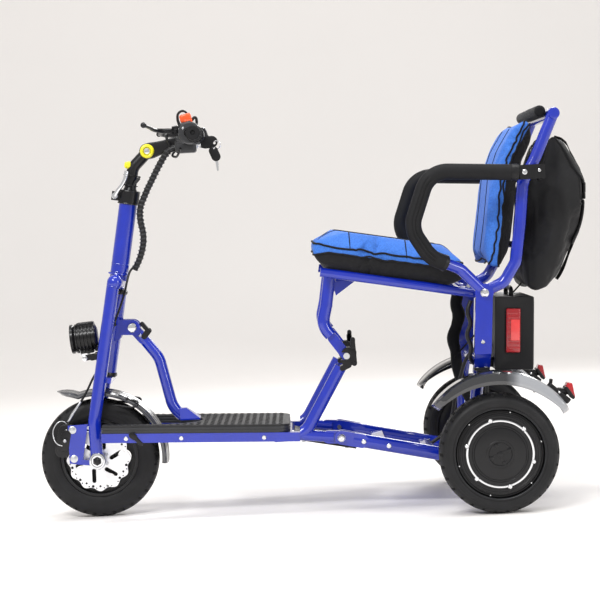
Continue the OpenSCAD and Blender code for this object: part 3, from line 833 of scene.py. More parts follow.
def swell(piece: bpy.types.Object, voxel: float, pressure: float, travel: float) -> None:
    """Remeshes a stuffed piece and lets its cloth swell.

    Args:
        piece: the piece.
        voxel: size of the new mesh, in millimetres.
        pressure: how hard the filling pushes.
        travel: how far a point may move, in millimetres.
    """
    scene = bpy.context.scene
    remesh = piece.modifiers.new("remesh", "REMESH")
    remesh.mode, remesh.voxel_size = "VOXEL", voxel * MM
    remesh.use_smooth_shade = True
    bake_modifiers(piece)
    rest = [v.co.copy() for v in piece.data.vertices]
    cloth = piece.modifiers.new("swell", "CLOTH")
    cloth.settings.use_pressure = True
    cloth.settings.uniform_pressure_force = pressure
    cloth.settings.effector_weights.gravity = 0
    cloth.point_cache.frame_start, cloth.point_cache.frame_end = 1, CLOTH_FRAMES
    for frame in range(1, CLOTH_FRAMES + 1):
        scene.frame_set(frame)
    graph = bpy.context.evaluated_depsgraph_get()
    moved = [v.co.copy() for v in piece.evaluated_get(graph).data.vertices]
    piece.modifiers.remove(cloth)
    scene.frame_set(1)
    for vertex, start, end in zip(piece.data.vertices, rest, moved):
        step = end - start
        if step.length > travel * MM:
            step *= travel * MM / step.length
        vertex.co = start + step
    piece.data.shade_smooth()
    smooth = piece.modifiers.new("smooth", "SUBSURF")
    smooth.levels = smooth.render_levels = 1


def ruck(piece: bpy.types.Object, depth: float, pitch: float) -> None:
    """Presses soft upright folds into a piece of cloth.

    Args:
        piece: the piece.
        depth: how deep the folds are, in millimetres.
        pitch: how far apart they are.
    """
    piece.data.update()
    normals = [v.normal.copy() for v in piece.data.vertices]
    for vertex, normal in zip(piece.data.vertices, normals):
        x, y, z = vertex.co / MM
        folds = noise.noise(Vector((x / pitch, y / pitch, z / (pitch * 4.5))))
        fine = noise.noise(Vector((x / pitch * 2.6, y / pitch * 2.6, z / (pitch * 2) + 7)))
        vertex.co += normal * (depth * folds + depth * 0.3 * fine - depth * 0.3) * MM


def bake_modifiers(piece: bpy.types.Object) -> None:
    """Puts a piece's modifiers into its mesh."""
    graph = bpy.context.evaluated_depsgraph_get()
    graph.update()
    old = piece.data
    piece.data = bpy.data.meshes.new_from_object(piece.evaluated_get(graph))
    piece.data.name = piece.name
    piece.modifiers.clear()
    bpy.data.meshes.remove(old)


def hugging(points: list[Vector], piece: bpy.types.Object, lift: float) -> list[Vector]:
    """Moves a seam's points onto a piece's surface.

    Args:
        points: the seam's route, in millimetres.
        piece: the piece that it lies on.
        lift: how far it stands off the surface.

    Returns:
        The new route.
    """
    tree = BVHTree.FromObject(piece, bpy.context.evaluated_depsgraph_get())
    route = []
    for point in points:
        place, normal, _, _ = tree.find_nearest(point * MM)
        route.append(place / MM + normal * lift)
    return route


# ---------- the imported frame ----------


class Rig:
    """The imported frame, asked for places in millimetres."""

    def __init__(self) -> None:
        """Loads the frame."""
        self.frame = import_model()
        self.joints = {j["name"]: j for j in self.frame["joints"]}

    def pivot(self, joint: str) -> Vector:
        """Where a joint's axis stands."""
        return Vector(self.joints[joint]["pos_m"]) / MM

    def middle(self, joint: str) -> Vector:
        """Where a joint's axis crosses the machine's middle plane."""
        place = self.pivot(joint)
        return at(place.x, 0, place.z)

    def box(self, node: str) -> tuple[Vector, Vector]:
        """A node's lowest and highest corners."""
        low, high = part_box(node)
        return low / MM, high / MM

    def steered(self, x: float, y: float, h: float) -> Vector:
        """A point in the column's own frame: x behind it, h along it from the axle's height."""
        turn = Matrix.Rotation(math.radians(STEER_LEAN), 4, "Y")
        return at(*STEER_FOOT) + turn @ at(x, y, h)

    def dress(self, finish: Finish, *nodes: str) -> None:
        """Gives nodes that stay their finish.

        Args:
            finish: the finish.
            nodes: the nodes' names.
        """
        for name in nodes:
            node = self.frame["nodes"][name]
            if not node.material_slots:
                node.data.materials.append(None)
            for slot in node.material_slots:
                slot.material = FINISHES.material(finish)
            LOG.info("%-28s dressed in %s", name, finish.name or finish.slot)


# ---------- the machine's sub-assemblies ----------

NEAR = at(0, -1, 0)


def sided(side: Side, y: float) -> float:
    """A distance from the middle, as a Y on one side."""
    return side.value * y


@dataclass
class Studio:
    """The floor, the lights and the camera."""

    eye: Triple = (-26.5, -4204.0, 648.8)
    pitch: float = 2.58
    roll: float = 3.0
    lens: float = 113.2
    paper: Colour = (0.93, 0.905, 0.885)
    floor_half: float = 9000.0

    def build(self) -> None:
        """Makes them all."""
        self._backdrop()
        self._sky()
        bpy.context.scene.view_settings.view_transform = "Standard"
        self._softbox("key", at(-1500, -2600, 2900), at(0, 0, 450), (1900, 500), 85)
        self._softbox("fill", at(2600, -2300, 1500), at(50, 0, 400), (500, 1900), 30)
        self._softbox("top", at(100, -300, 3300), at(0, 0, 300), (2600, 500), 55)
        self._softbox("rim", at(900, 2500, 1900), at(100, 0, 500), (1800, 700), 36)
        self._camera()

    def _backdrop(self) -> None:
        """A floor that curves up into a wall behind."""
        route = [at(0, -7000, 0), at(0, 3200, 0)]
        route += [at(0, 3200 + 2000 * math.sin(t), 2000 - 2000 * math.cos(t)) for t
            in (k * math.pi / 24 for k in range(1, 13))]
        route.append(at(0, 5200, 7000))
        shape = Shape()
        _, edges = shape.chain(point - at(self.floor_half, 0, 0) for point in route)
        moved, _ = shape.grown(edges)
        bmesh.ops.translate(shape.bm, verts=moved, vec=(self.floor_half * 2, 0, 0))
        paper = Finish("paper", self.paper, 0.75, Grain.MOULDED, 8, 0.02, mottle=0.01,
            mottle_size=900)
        bmesh.ops.scale(shape.bm, vec=(MM,) * 3, verts=shape.bm.verts)
        mesh = bpy.data.meshes.new("floor")
        shape.bm.to_mesh(mesh)
        shape.bm.free()
        mesh.shade_smooth()
        mesh.materials.append(FINISHES.material(paper))
        floor = bpy.data.objects.new("floor", mesh)
        bpy.context.scene.collection.objects.link(floor)

    def _sky(self) -> None:
        """An even pale surrounding."""
        world = bpy.data.worlds.new("surround")
        bpy.context.scene.world = world
        world.use_nodes = True
        back = world.node_tree.nodes["Background"]
        back.inputs["Color"].default_value = (1.0, 0.985, 0.97, 1)
        back.inputs["Strength"].default_value = 0.62

    @staticmethod
    def _softbox(name: str, place: Vector, aim: Vector, size: Pair, power: float) -> None:
        """One soft light.

        Args:
            name: its name.
            place: its middle.
            aim: what it shines at.
            size: its width and height.
            power: in watts.
        """
        light = bpy.data.lights.new(name, "AREA")
        light.shape = "RECTANGLE"
        light.size, light.size_y = size[0] * MM, size[1] * MM
        light.energy = power
        lamp = bpy.data.objects.new(name, light)
        lamp.location = place * MM
        lamp.rotation_euler = (aim - place).to_track_quat("-Z", "Y").to_euler()
        bpy.context.scene.collection.objects.link(lamp)

    def _camera(self) -> None:
        """The camera, low and far on the rider's left."""
        data = bpy.data.cameras.new("camera")
        data.lens = self.lens
        data.clip_end = 60
        camera = bpy.data.objects.new("camera", data)
        tilt = Matrix.Rotation(math.radians(90 - self.pitch), 4, "X")
        roll = Matrix.Rotation(math.radians(-self.roll), 4, "Z")
        camera.matrix_world = Matrix.Translation(at(*self.eye) * MM) @ tilt @ roll
        bpy.context.scene.collection.objects.link(camera)
        bpy.context.scene.camera = camera


@dataclass
class Deck:
    """The foot deck: its rubber mat on a ribbed board, and screws in the cover below."""

    rig: Rig
    slope: float = 2.5
    half: float = 119.0
    length: float = 410.4
    corner: float = 28.0
    arm_in: float = 93.0
    slot_at: float = 121.0
    board: float = 18.0
    mat: float = 5.0
    stud_pitch: float = 15.0

    def build(self) -> None:
        """Makes the deck's pieces."""
        low, high = self.rig.box("deck_mat")
        lean = math.radians(self.slope)
        turn = Matrix.Rotation(lean, 4, "Y")
        self.place = Matrix.Translation(at(low.x + self.board * math.sin(lean), 0, high.z)) @ turn
        self.down = (turn @ at(0, 0, -1)).normalized()
        self._board()
        self._mat()
        self._belly()

    def _edge(self, inset: float, z: float) -> list[Vector]:
        """The mat's outline, moved inwards by an inset, at a height."""
        half, corner, arm = self.half - inset, self.corner - inset, self.arm_in + inset
        back = self.length - self.corner
        route = [(inset, -half)]
        for turn, y in ((-90, -1), (0, 1)):
            for k in range(9):
                t = math.radians(turn + 90 * k / 8)
                route.append((back + corner * math.cos(t), y * (self.half - self.corner) + corner
                    * math.sin(t)))
        route += [(inset, half), (inset, arm)]
        for k in range(25):
            t = math.radians(90 - 180 * k / 24)
            route.append((self.slot_at + arm * math.cos(t), arm * math.sin(t)))
        route.append((inset, -arm))
        return [self.place @ at(x, y, z) for x, y in route]

    def _board(self) -> None:
        """The board with two ribs along its edge."""
        shape = Shape()
        shape.slab(self._edge(1.2, -self.mat + 1), self.down * (self.board - self.mat + 1))
        for z in (-6.4, -12.2):
            shape.slab(self._edge(0.0, z), self.down * 3.2)
        shape.soften(0.5, 50, 2)
        shape.piece("deck_board", GREY_PLASTIC, "chassis", ("deck_mat",))

    def _mat(self) -> None:
        """The rubber mat with its raised studs."""
        shape = Shape()
        shape.slab(self._edge(0.6, 0), self.down * self.mat)
        shape.soften(1.6, 60, 3)
        pitch = self.stud_pitch
        for i in range(1, int(self.length / pitch)):
            for j in range(-8, 9):
                x, y = i * pitch, j * pitch * 0.93
                reach = math.hypot(max(0.0, x - self.slot_at), y)
                if reach < self.arm_in + 9 or x > self.length - 12 or abs(y) > self.half - 7:
                    continue
                turn = Matrix.Rotation(math.radians(45 if (i + j) % 2 else -45), 4, "Z")
                size = Matrix.Diagonal((10, 2.6, 1.2, 1))
                bmesh.ops.create_cube(shape.bm, size=1,
                    matrix=self.place @ Matrix.Translation(at(x, y, 0.2)) @ turn @ size)
        shape.piece("deck_mat_rubber", MAT, "chassis", ("deck_mat",))

    def _belly(self) -> None:
        """Screws under the rear cover."""
        low, high = self.rig.box("belly_cover")
        shape = Shape()
        for x in (low.x + 22, high.x - 22):
            for y in (low.y + 14, high.y - 14):
                z = high.z - (x - low.x) / (high.x - low.x) * (high.z - low.z - 12) - 12.5
                shape.screw(at(x, y, z), at(0.2, 0, -1), 5, 3)
        shape.piece("belly_screws", STEEL, "chassis")


@dataclass
class Front:
    """What turns with the fork: mudguard, brake, lamp and axle nuts."""

    rig: Rig
    fender_r: float = 149.0
    fender_half: float = 36.0

    def build(self) -> None:
        """Makes the front's pieces."""
        self.axle = self.rig.middle("front_spin")
        self._mudguard()
        self._caliper()
        self._brake_line()
        self._axle_nuts()
        self._headset()
        self._lamp()

    def _mudguard(self) -> None:
        """The crowned front mudguard with its nose."""
        r, half = self.fender_r, self.fender_half
        section = [(-half, r - 9), (-half, r - 3), (-half + 3, r), (-half + 9, r + 1),
            (-half + 11, r + 2), (-half + 13, r + 1), (-8, r + 1.6), (-6, r + 2.8), (-4, r + 1.8),
            (0, r + 1.8)]
        section += [(-y, radius) for y, radius in reversed(section[:-1])]
        shape = Shape()
        shape.arc(self.axle, section, -7, 106, 56)
        way = math.radians(106)
        rim = [v for v in shape.bm.verts if abs(math.atan2(v.co.z - self.axle.z,
            v.co.x - self.axle.x) - way) < 0.004]
        edges = [e for e in shape.bm.edges if all(v in rim for v in e.verts)]
        tip = at(-579, 0, 283)
        for share, width in ((0.3, 1.0), (0.36, 0.9), (0.5, 0.7), (0.9, 0.22)):
            moved, edges = shape.grown(edges)
            middle = sum((v.co for v in moved), at(0, 0, 0)) / len(moved)
            bmesh.ops.translate(shape.bm, verts=moved, vec=(tip - middle) * share)
            for vert in moved:
                vert.co.y *= width
                vert.co.z = middle.z + (tip - middle).z * share + (vert.co.z - middle.z) * width
        shape.piece("front_mudguard", SMOKE, "steerer", ("front_fender",), wall=2.4)
        stay = Shape()
        for side in Side:
            y = sided(side, 34)
            stay.swept([around(self.axle, 146, 62, y), around(self.axle, 151, 52, sided(side, 40)),
                at(-452, sided(side, 47), 250)], 2.4)
            stay.ball(around(self.axle, 147, 62, y), 4.5)
        stay.piece("mudguard_stays", BLACK_METAL, "steerer")

    def _caliper(self) -> None:
        """The brake caliper over the disc, with its screws and wire."""
        shape = Shape()
        shape.plate(capsule((-557, 198), (-566, 158), 34), -62, -44.6)
        shape.plate(capsule((-557, 198), (-566, 158), 34), -37.4, -33)
        shape.plate(capsule((-563, 203), (-574, 160), 16), -45, -37)
        shape.plate(capsule((-556, 193), (-562, 165), 20), -65.5, -61)
        shape.soften(1.6, 50, 3)
        shape.bar(at(-560, -66, 179), at(-560, -60, 179), 10, chamfer=1.2)
        shape.bar(at(-553, -48, 206), at(-553, -48, 220), 5.5, 4, chamfer=0.8)
        shape.block(at(-548, -54, 209), (14, 10, 9), 1.5)
        shape.piece("brake_caliper_body", BLACK_METAL, "steerer", ("brake_caliper",))
        bolts = Shape()
        for x, z in ((-542, 202), (-542, 138)):
            bolts.nut(at(x, -63.5, z), NEAR, 6.2, 6)
        for x, z in ((-560, 179), (-556, 200), (-566, 160)):
            bolts.screw(at(x, -62 if z != 179 else -66, z), NEAR, 3.6, 2.4)
        bolts.swept([at(-553, -52, 212), at(-566, -57, 222), at(-582, -60, 210), at(-585, -62, 188),
            at(-576, -64, 172), at(-566, -65, 168)], 1.1, 8)
        bolts.screw(at(-506, -64, 205), NEAR, 4, 2.5)
        bolts.piece("brake_bolts", STEEL, "steerer")

    def _brake_line(self) -> None:
        """The brake line from the column to the caliper, with its clips."""
        route = [at(-393, -10, 552), at(-400, -17, 543), at(-407, -24, 522), at(-413, -30, 498),
            at(-423, -34, 470), at(-440, -34, 430), at(-456, -34, 380), at(-474, -35, 340),
            at(-492, -38, 314), at(-506, -42, 288), at(-522, -46, 262), at(-540, -48, 238),
            at(-553, -48, 221)]
        line = Shape().swept(route, 2.5, 12)
        for i in (5, 7):
            line.bar(route[i] + at(0, -3, 5), route[i] + at(1, -3, -5), 4.2, chamfer=1)
        line.piece("brake_line", SHEATH, "steerer", ("brake_cable",))
        ends = Shape()
        ends.bar(route[-2], route[-1] + at(0, 0, -3), 3.2, chamfer=0.6)
        ends.bar(route[-3], route[-2], 2.9, chamfer=0.4)
        ends.piece("brake_line_end", STEEL, "steerer")

    def _axle_nuts(self) -> None:
        """The nuts on the axle's ends."""
        nuts = Shape()
        caps = Shape()
        for side in Side:
            way = at(0, side.value, 0)
            seat = self.axle + way * 74
            nuts.turned(seat, way, [(-1, 9), (-1, 17.5), (1.5, 18.5), (4.5, 17), (5.5, 13.5),
                (3.2, 12.5), (3.2, 9)], 48, closed=True)
            caps.bar(seat + way * 0.5, seat + way * 8.5, 10.5, 9.5, sides=6, chamfer=1.2)
            caps.turned(seat, way, [(0, 7), (10, 7), (12.5, 5), (13, 0)], 24)
        nuts.piece("axle_washers", CHROME, "steerer")
        caps.piece("axle_caps", BLACK_METAL, "steerer")

    def _headset(self) -> None:
        """The headset's dust covers and the weld beads of the fork's crown."""
        foot = at(*STEER_FOOT)
        axis = self.rig.steered(0, 0, 1) - foot
        cups = Shape()
        for h, flip in ((190, -1), (374, 1)):
            cups.turned(foot + axis * h, axis * flip, [(-4, 17), (-4, 23.2), (-1, 24.4), (3, 24.4),
                (6.5, 21), (7, 16)], 56, closed=True)
        cups.piece("headset_cups", BLACK_METAL, "head")
        beads = Shape()
        beads.ring(foot + axis * 404.6 + at(0, 0, 9), axis, 20.6, 2.4, 56)
        for side in Side:
            beads.ring(foot + axis * 388 + at(-3, sided(side, 60), 0), axis, 14.6, 1.6, 40)
        beads.ring(foot + axis * 384 + at(-1, 0, 0), axis, 15.2, 1.8, 40)
        beads.piece("crown_welds", BLUE, "steerer")
        clip = Shape()
        clip.block(foot + axis * 250 + at(-20, -12, 0), (16, 22, 14), 3)
        clip.screw(foot + axis * 250 + at(-26, -20, 2), at(-0.6, -1, 0), 4, 2.5)
        clip.piece("head_clip", PLASTIC, "head")

    def _lamp(self) -> None:
        """The ribbed headlight with its reflector and glass."""
        pivot = self.rig.pivot("headlight_tilt")
        middle = at(pivot.x, 0, 400)
        axis = at(-math.cos(math.radians(4)), 0, -math.sin(math.radians(4)))
        profile = [(-30, 0), (-30, 22), (-28, 26), (-27, 28.5)]
        for k in range(6):
            h = -26 + 8 * k
            profile += [(h, 28.5), (h + 0.6, 32.6), (h + 3.6, 32.6), (h + 4.4, 28.5)]
        profile += [(22, 31), (23, 32.6), (28.4, 32.6), (29, 31.6), (29, 29), (25, 28.4)]
        shell = Shape().turned(middle, axis, profile, 72)
        shell.block(middle + at(4, 0, 29), (38, 30, 13), 3, tilt=-4)
        shell.block(middle + at(6, 0, -28), (30, 26, 12), 3, tilt=-4)
        shell.bar(middle + at(26, 0, -14), middle + at(40, 0, -20), 5, 3.6, chamfer=0.8)
        shell.piece("headlight_housing", BLACK_METAL, "headlight", ("headlight_shell",))
        bracket = Shape()
        bracket.plate(capsule((-512, 374), (-512, 355), 15), -4.8, 4.8,
            (circle(-512, 355, 2.6, 16),))
        bracket.soften(0.8, 60, 2)
        bracket.ring(at(-512, 0, 368), at(0, 1, 0), 10, 2.4)
        bracket.nut(at(-512, -8.8, 355), NEAR, 4.4, 4)
        bracket.piece("headlight_eye", CHROME, "headlight")
        bowl = Shape().turned(middle, axis, [(6, 0), (6, 7), (9, 13), (15, 20), (22, 26),
            (25, 28.2)])
        bowl.piece("headlight_reflector", CHROME, "headlight", ("headlight_lens",), wall=0.8)
        lens = Shape().turned(middle, axis, [(25, 28.4), (27.5, 24), (29.5, 14), (30, 0)])
        for k in range(5):
            lens.bar(middle + axis * 27.4 + at(0, -20 + 10 * k, -14), middle + axis * 27.4 + at(0,
                -20 + 10 * k, 14), 1.6)
        lens.piece("headlight_glass", GLASS, "headlight", ("headlight_lens",), wall=1.2)
        wire = Shape().swept([at(-474, -2, 381), at(-466, -5, 372), at(-459, -14, 378),
            at(-452, -22, 392)], 2.0, 10)
        wire.piece("headlight_wire", SHEATH, "headlight")


@dataclass
class FrontWheel:
    """The front tyre and the brake disc."""

    rig: Rig
    tyre_r: float = 132.0
    bead_r: float = 86.0
    lobes: int = 12
    disc_r: float = 68.5

    def build(self) -> None:
        """Makes the wheel's pieces."""
        self.axle = self.rig.middle("front_spin")
        self._tyre()
        self._disc()
        self._rim()

    def _tyre(self) -> None:
        """The tyre, with grooves round its tread and blocks on its shoulders."""
        edge, out = self.bead_r, self.tyre_r
        half = [(22, edge), (26.5, edge + 1), (29.2, edge + 8), (30, edge + 17),
            (29.6, edge + 18.2), (29.9, edge + 20), (28.4, edge + 29), (25.6, edge + 36),
            (21.4, edge + 40.6), (15.5, out - 2.4), (9, out - 0.8), (7, out - 0.5), (6, out - 2.9),
            (4, out - 2.9), (3, out - 0.1)]
        section = [(-y, r) for y, r in half] + [(y, r) for y, r in reversed(half)]
        shape = Shape().arc(self.axle, section, steps=108, closed=True)
        shoulder = [f for f in shape.bm.faces if 14.5 < abs(f.calc_center_median().y) < 26.2
            and (f.calc_center_median() - self.axle).length > edge + 34]
        ordered = sorted(shoulder, key=self._turn_of)
        shape.sunk([f for f in ordered if int(self._turn_of(f) * 54 / math.pi + 0.01) % 3 == 0],
            1.0, 1.6)
        shape.piece("front_tyre_tread", TYRE, "front_wheel", ("front_tyre",))

    def _turn_of(self, face: bmesh.types.BMFace) -> float:
        """A face's angle round the axle, from zero."""
        middle = face.calc_center_median()
        return math.atan2(middle.z - self.axle.z, middle.x - self.axle.x) + math.pi

    def _disc(self) -> None:
        """The wavy brake disc with its holes and slots."""
        cx, cz = self.axle.x, self.axle.z
        edge = []
        for k in range(240):
            t = 2 * math.pi * k / 240
            r = self.disc_r + 3 * math.cos(self.lobes * t)
            edge.append((cx + r * math.cos(t), cz + r * math.sin(t)))
        holes = [circle(cx, cz, 9, 36)]
        for k in range(self.lobes):
            for shift, r, size in ((15, 62.0, 3.0), (0, 60.5, 2.4), (7.5, 65.0, 1.5),
                    (22.5, 65.0, 1.5)):
                t = math.radians(360 / self.lobes * k + shift)
                holes.append(circle(cx + r * math.cos(t), cz + r * math.sin(t), size, 14))
        for k in range(6):
            t = math.radians(60 * k)
            ends = [(28, 2), (48, 13)]
            turned = [(cx + a * math.cos(t) - b * math.sin(t),
                cz + a * math.sin(t) + b * math.cos(t)) for a, b in ends]
            holes.append(capsule(*turned, 9, 8))
        shape = Shape().plate(edge, -42.5, -39.5, tuple(holes))
        shape.soften(0.35, 50, 1)
        shape.piece("brake_disc", ROTOR, "front_wheel", ("brake_rotor",))
        bolts = Shape()
        for k in range(6):
            bolts.screw(around(self.axle, 19.5, 60 * k + 30, -42.5), NEAR, 4.2, 2.4)
        bolts.piece("disc_bolts", STEEL, "front_wheel")

    def _rim(self) -> None:
        """Bright rings at the rim's edge and its valve."""
        shape = Shape()
        for y in (-24.5, 24.5):
            shape.ring(at(self.axle.x, y, self.axle.z), NEAR, 80.5, 1.1, 72)
        stem = around(self.axle, 62, 110, -8)
        shape.bar(stem, around(self.axle, 80, 110, -8), 3, 4, chamfer=0.5)
        shape.piece("front_rim_edge", GREY_PLASTIC, "front_wheel")


@dataclass
class RearWheels:
    """The two rear tyres with their hub motors."""

    rig: Rig
    tyre_r: float = 127.0
    bead_r: float = 94.0
    width: float = 36.6

    def build(self) -> None:
        """Makes both wheels."""
        for side in Side:
            self.side = side
            self.hub = self.rig.pivot(f"wheel_{side.word}_spin")
            self.hub.y = (sum(p.y for p in self.rig.box(f"rear_tyre_{side.word}"))) / 2
            self._tyre()
            self._motor()

    def _body(self) -> str:
        """The wheel's body."""
        return f"wheel_{self.side.word}"

    def _tyre(self) -> None:
        """The tyre, broad and flat, with ribs on its walls and sipes in its tread."""
        out, w = self.tyre_r, self.width
        half = [(26, 93.5), (33, 94.2), (36, 96), (36, 98.6), (35, 99.4), (35.4, 101), (w, 104),
            (w, 111), (36.2, 112), (36.6, 113.2), (35.6, 115.5), (32.6, 119.2), (28, 122.6),
            (22.4, 124.8), (17.6, out - 0.9), (16.4, out - 3), (14.4, out - 3), (13.2, out - 0.6),
            (5.6, out - 0.2), (4.6, out - 2.6), (3.0, out - 2.6), (2, out)]
        section = [(-y, r) for y, r in half] + [(y, r) for y, r in reversed(half)]
        shape = Shape().arc(self.hub, section, steps=120, closed=True)
        blocks = []
        for face in shape.bm.faces:
            middle = face.calc_center_median() - self.hub
            turn = math.degrees(math.atan2(middle.z, middle.x)) + 181.5
            across = abs(middle.y)
            reach = math.hypot(middle.x, middle.z)
            if (18 < across < 32 and reach > 118 and int(turn / 3) % 4 == 0) or (6 < across < 13
                    and int(turn / 3) % 4 == 2):
                blocks.append(face)
        shape.sunk(blocks, 0.8, 1.6)
        shape.piece(f"rear_tyre_tread_{self.side.word}", TYRE, self._body(),
            (f"rear_tyre_{self.side.word}",))

    def _motor(self) -> None:
        """The motor's shell, stepped cover, bright ring and screws."""
        s = self.side.value
        node = f"rear_motor_{self.side.word}"
        out = at(0, s, 0)
        shell = Shape().turned(self.hub, out, [(-28, 0), (-28, 20), (-25, 22), (-25, 60), (-27, 64),
            (-27, 86), (-25, 93.4), (25, 93.4), (28, 91), (28.6, 88.6), (26.4, 87), (26.4, 85),
            (29.6, 84), (30.4, 81), (29.2, 79.6), (29.2, 76), (31, 75), (31.6, 66.5), (33, 65.4),
            (33, 60), (31.4, 58.4), (31.4, 55.6), (32.8, 54.4), (33.2, 52), (33.2, 30),
            (34.2, 28.8), (34.2, 25), (32.6, 23.6), (32.6, 0)], 96)
        face = self.hub + out * 32.8
        for turn in (22, 112):
            way = Vector((math.cos(math.radians(turn)), 0, math.sin(math.radians(turn))))
            low, high = face - way * 20, face + way * 20
            shell.plate(capsule((low.x, low.z), (high.x, high.z), 5.4), face.y - s,
                face.y + s * 1.2)
            for end in (low, high):
                shell.bar(end - out, end + out * 1.8, 4.6, chamfer=0.8)
        shell.bar(face - out, face + out * 2, 6.4, chamfer=1)
        shell.piece(f"{node}_shell", BLACK_METAL, self._body(), (node,))
        ring = Shape().turned(self.hub + out * 30.9, out, [(-1, 67.8), (-1, 71.6), (0.9, 71.6),
            (1.2, 69.8), (0.9, 67.8)], 96, closed=True)
        for k in range(6):
            ring.screw(around(self.hub, 72, 44 + 60 * k, self.hub.y) + out * 31, out, 5.0, 3.0)
            ring.screw(around(self.hub, 89.6, 14 + 60 * k, self.hub.y) + out * 28, out, 1.7, 1.2)
        ring.piece(f"{node}_ring", CHROME, self._body())
        lip = Shape().arc(self.hub,
            [(y * s, r) for y, r in ((34.2, 94.2), (35.4, 95.2), (35.2, 96.6), (34, 96.4))],
            steps=96, closed=True)
        lip.piece(f"{node}_lip", GREY_PLASTIC, self._body())


@dataclass
class Post:
    """The sliding inner post with its knuckle, its clamp lever and its button."""

    rig: Rig
    post_r: float = 13.2
    foot_r: float = 15.0

    def build(self) -> None:
        """Makes the post's pieces."""
        place = self.rig.steered
        route = fillet([place(0, 0, 604), place(0, 0, 652), place(27, 0, 690)], 34, 10)
        post = Shape().swept([*route], self.post_r, 32, straight=True)
        post.turned(place(0, 0, 500), place(0, 0, 501) - place(0, 0, 500),
            [(0, 0), (0, self.foot_r - 1), (1, self.foot_r), (103, self.foot_r),
            (106, self.post_r + 0.2), (110, self.post_r), (110, 0)], 48)
        elbow = place(28, 0, 692)
        post.turned(elbow - at(0, 12, 0), at(0, 1, 0), [(0, 5.2), (0, 15.4), (1.6, 17), (22.4, 17),
            (24, 15.4), (24, 5.2)], 48, closed=True)
        post.piece("post_tube", BLACK_METAL, "post", ("stem_post",))
        button = Shape()
        seat = place(-11, -4, 656)
        button.turned(seat, at(-1, -0.25, 0.1), [(-4, 8.6), (1, 8.6), (2, 7.4), (6, 7), (8, 4.6),
            (8.4, 0)], 32)
        button.piece("elbow_button", YELLOW, "post")
        bands = Shape()
        axis = place(0, 0, 1) - place(0, 0, 0)
        for h in (612, 634):
            bands.ring(place(-1.5, 0, h), axis, self.post_r + 2.6, 1.7, 40)
        bands.piece("post_bands", PLASTIC, "post")
        self._lever()
        self._collar()

    def _lever(self) -> None:
        """The clamp's lever, curved up beside the post."""
        place = self.rig.steered
        lever = Shape()
        lever.bar(place(-30, -21, 585), place(-30, 21, 585), 2.9, chamfer=0.4)
        lever.turned(place(-30, -11.8, 585), at(0, -1, 0), [(0, 2), (0, 6.2), (1, 7), (9, 7),
            (10, 6), (10, 0)], 36)
        lever.turned(place(-30, 21, 585), at(0, 1, 0), [(0, 2), (0, 5.6), (1, 6), (7, 6), (9, 4.4),
            (9, 0)], 36)
        lever.swept([place(-30, -19, 585), place(-25, -22, 597), place(-17, -24, 611),
            place(-12, -24, 626), place(-11, -22, 642)], 4.2, 14, radii=[1.2, 1.1, 1.0, 1.05, 1.2])
        lever.piece("clamp_lever", CHROME, "collar_lock", ("collar_lever",))

    def _collar(self) -> None:
        """A lip and a step on the clamp collar."""
        place = self.rig.steered
        axis = place(0, 0, 1) - place(0, 0, 0)
        lips = Shape()
        lips.ring(place(0, 0, 598.6), axis, 22.2, 1.8, 56)
        lips.ring(place(0, 0, 571.4), axis, 22.2, 1.8, 56)
        lips.piece("collar_lips", BLACK_METAL, "steerer")
        decal = Shape()
        for h in (418, 436):
            decal.ring(place(0, 0, h), axis, 20.0, 0.9, 56)
        decal.piece("column_beads", BLUE, "steerer")


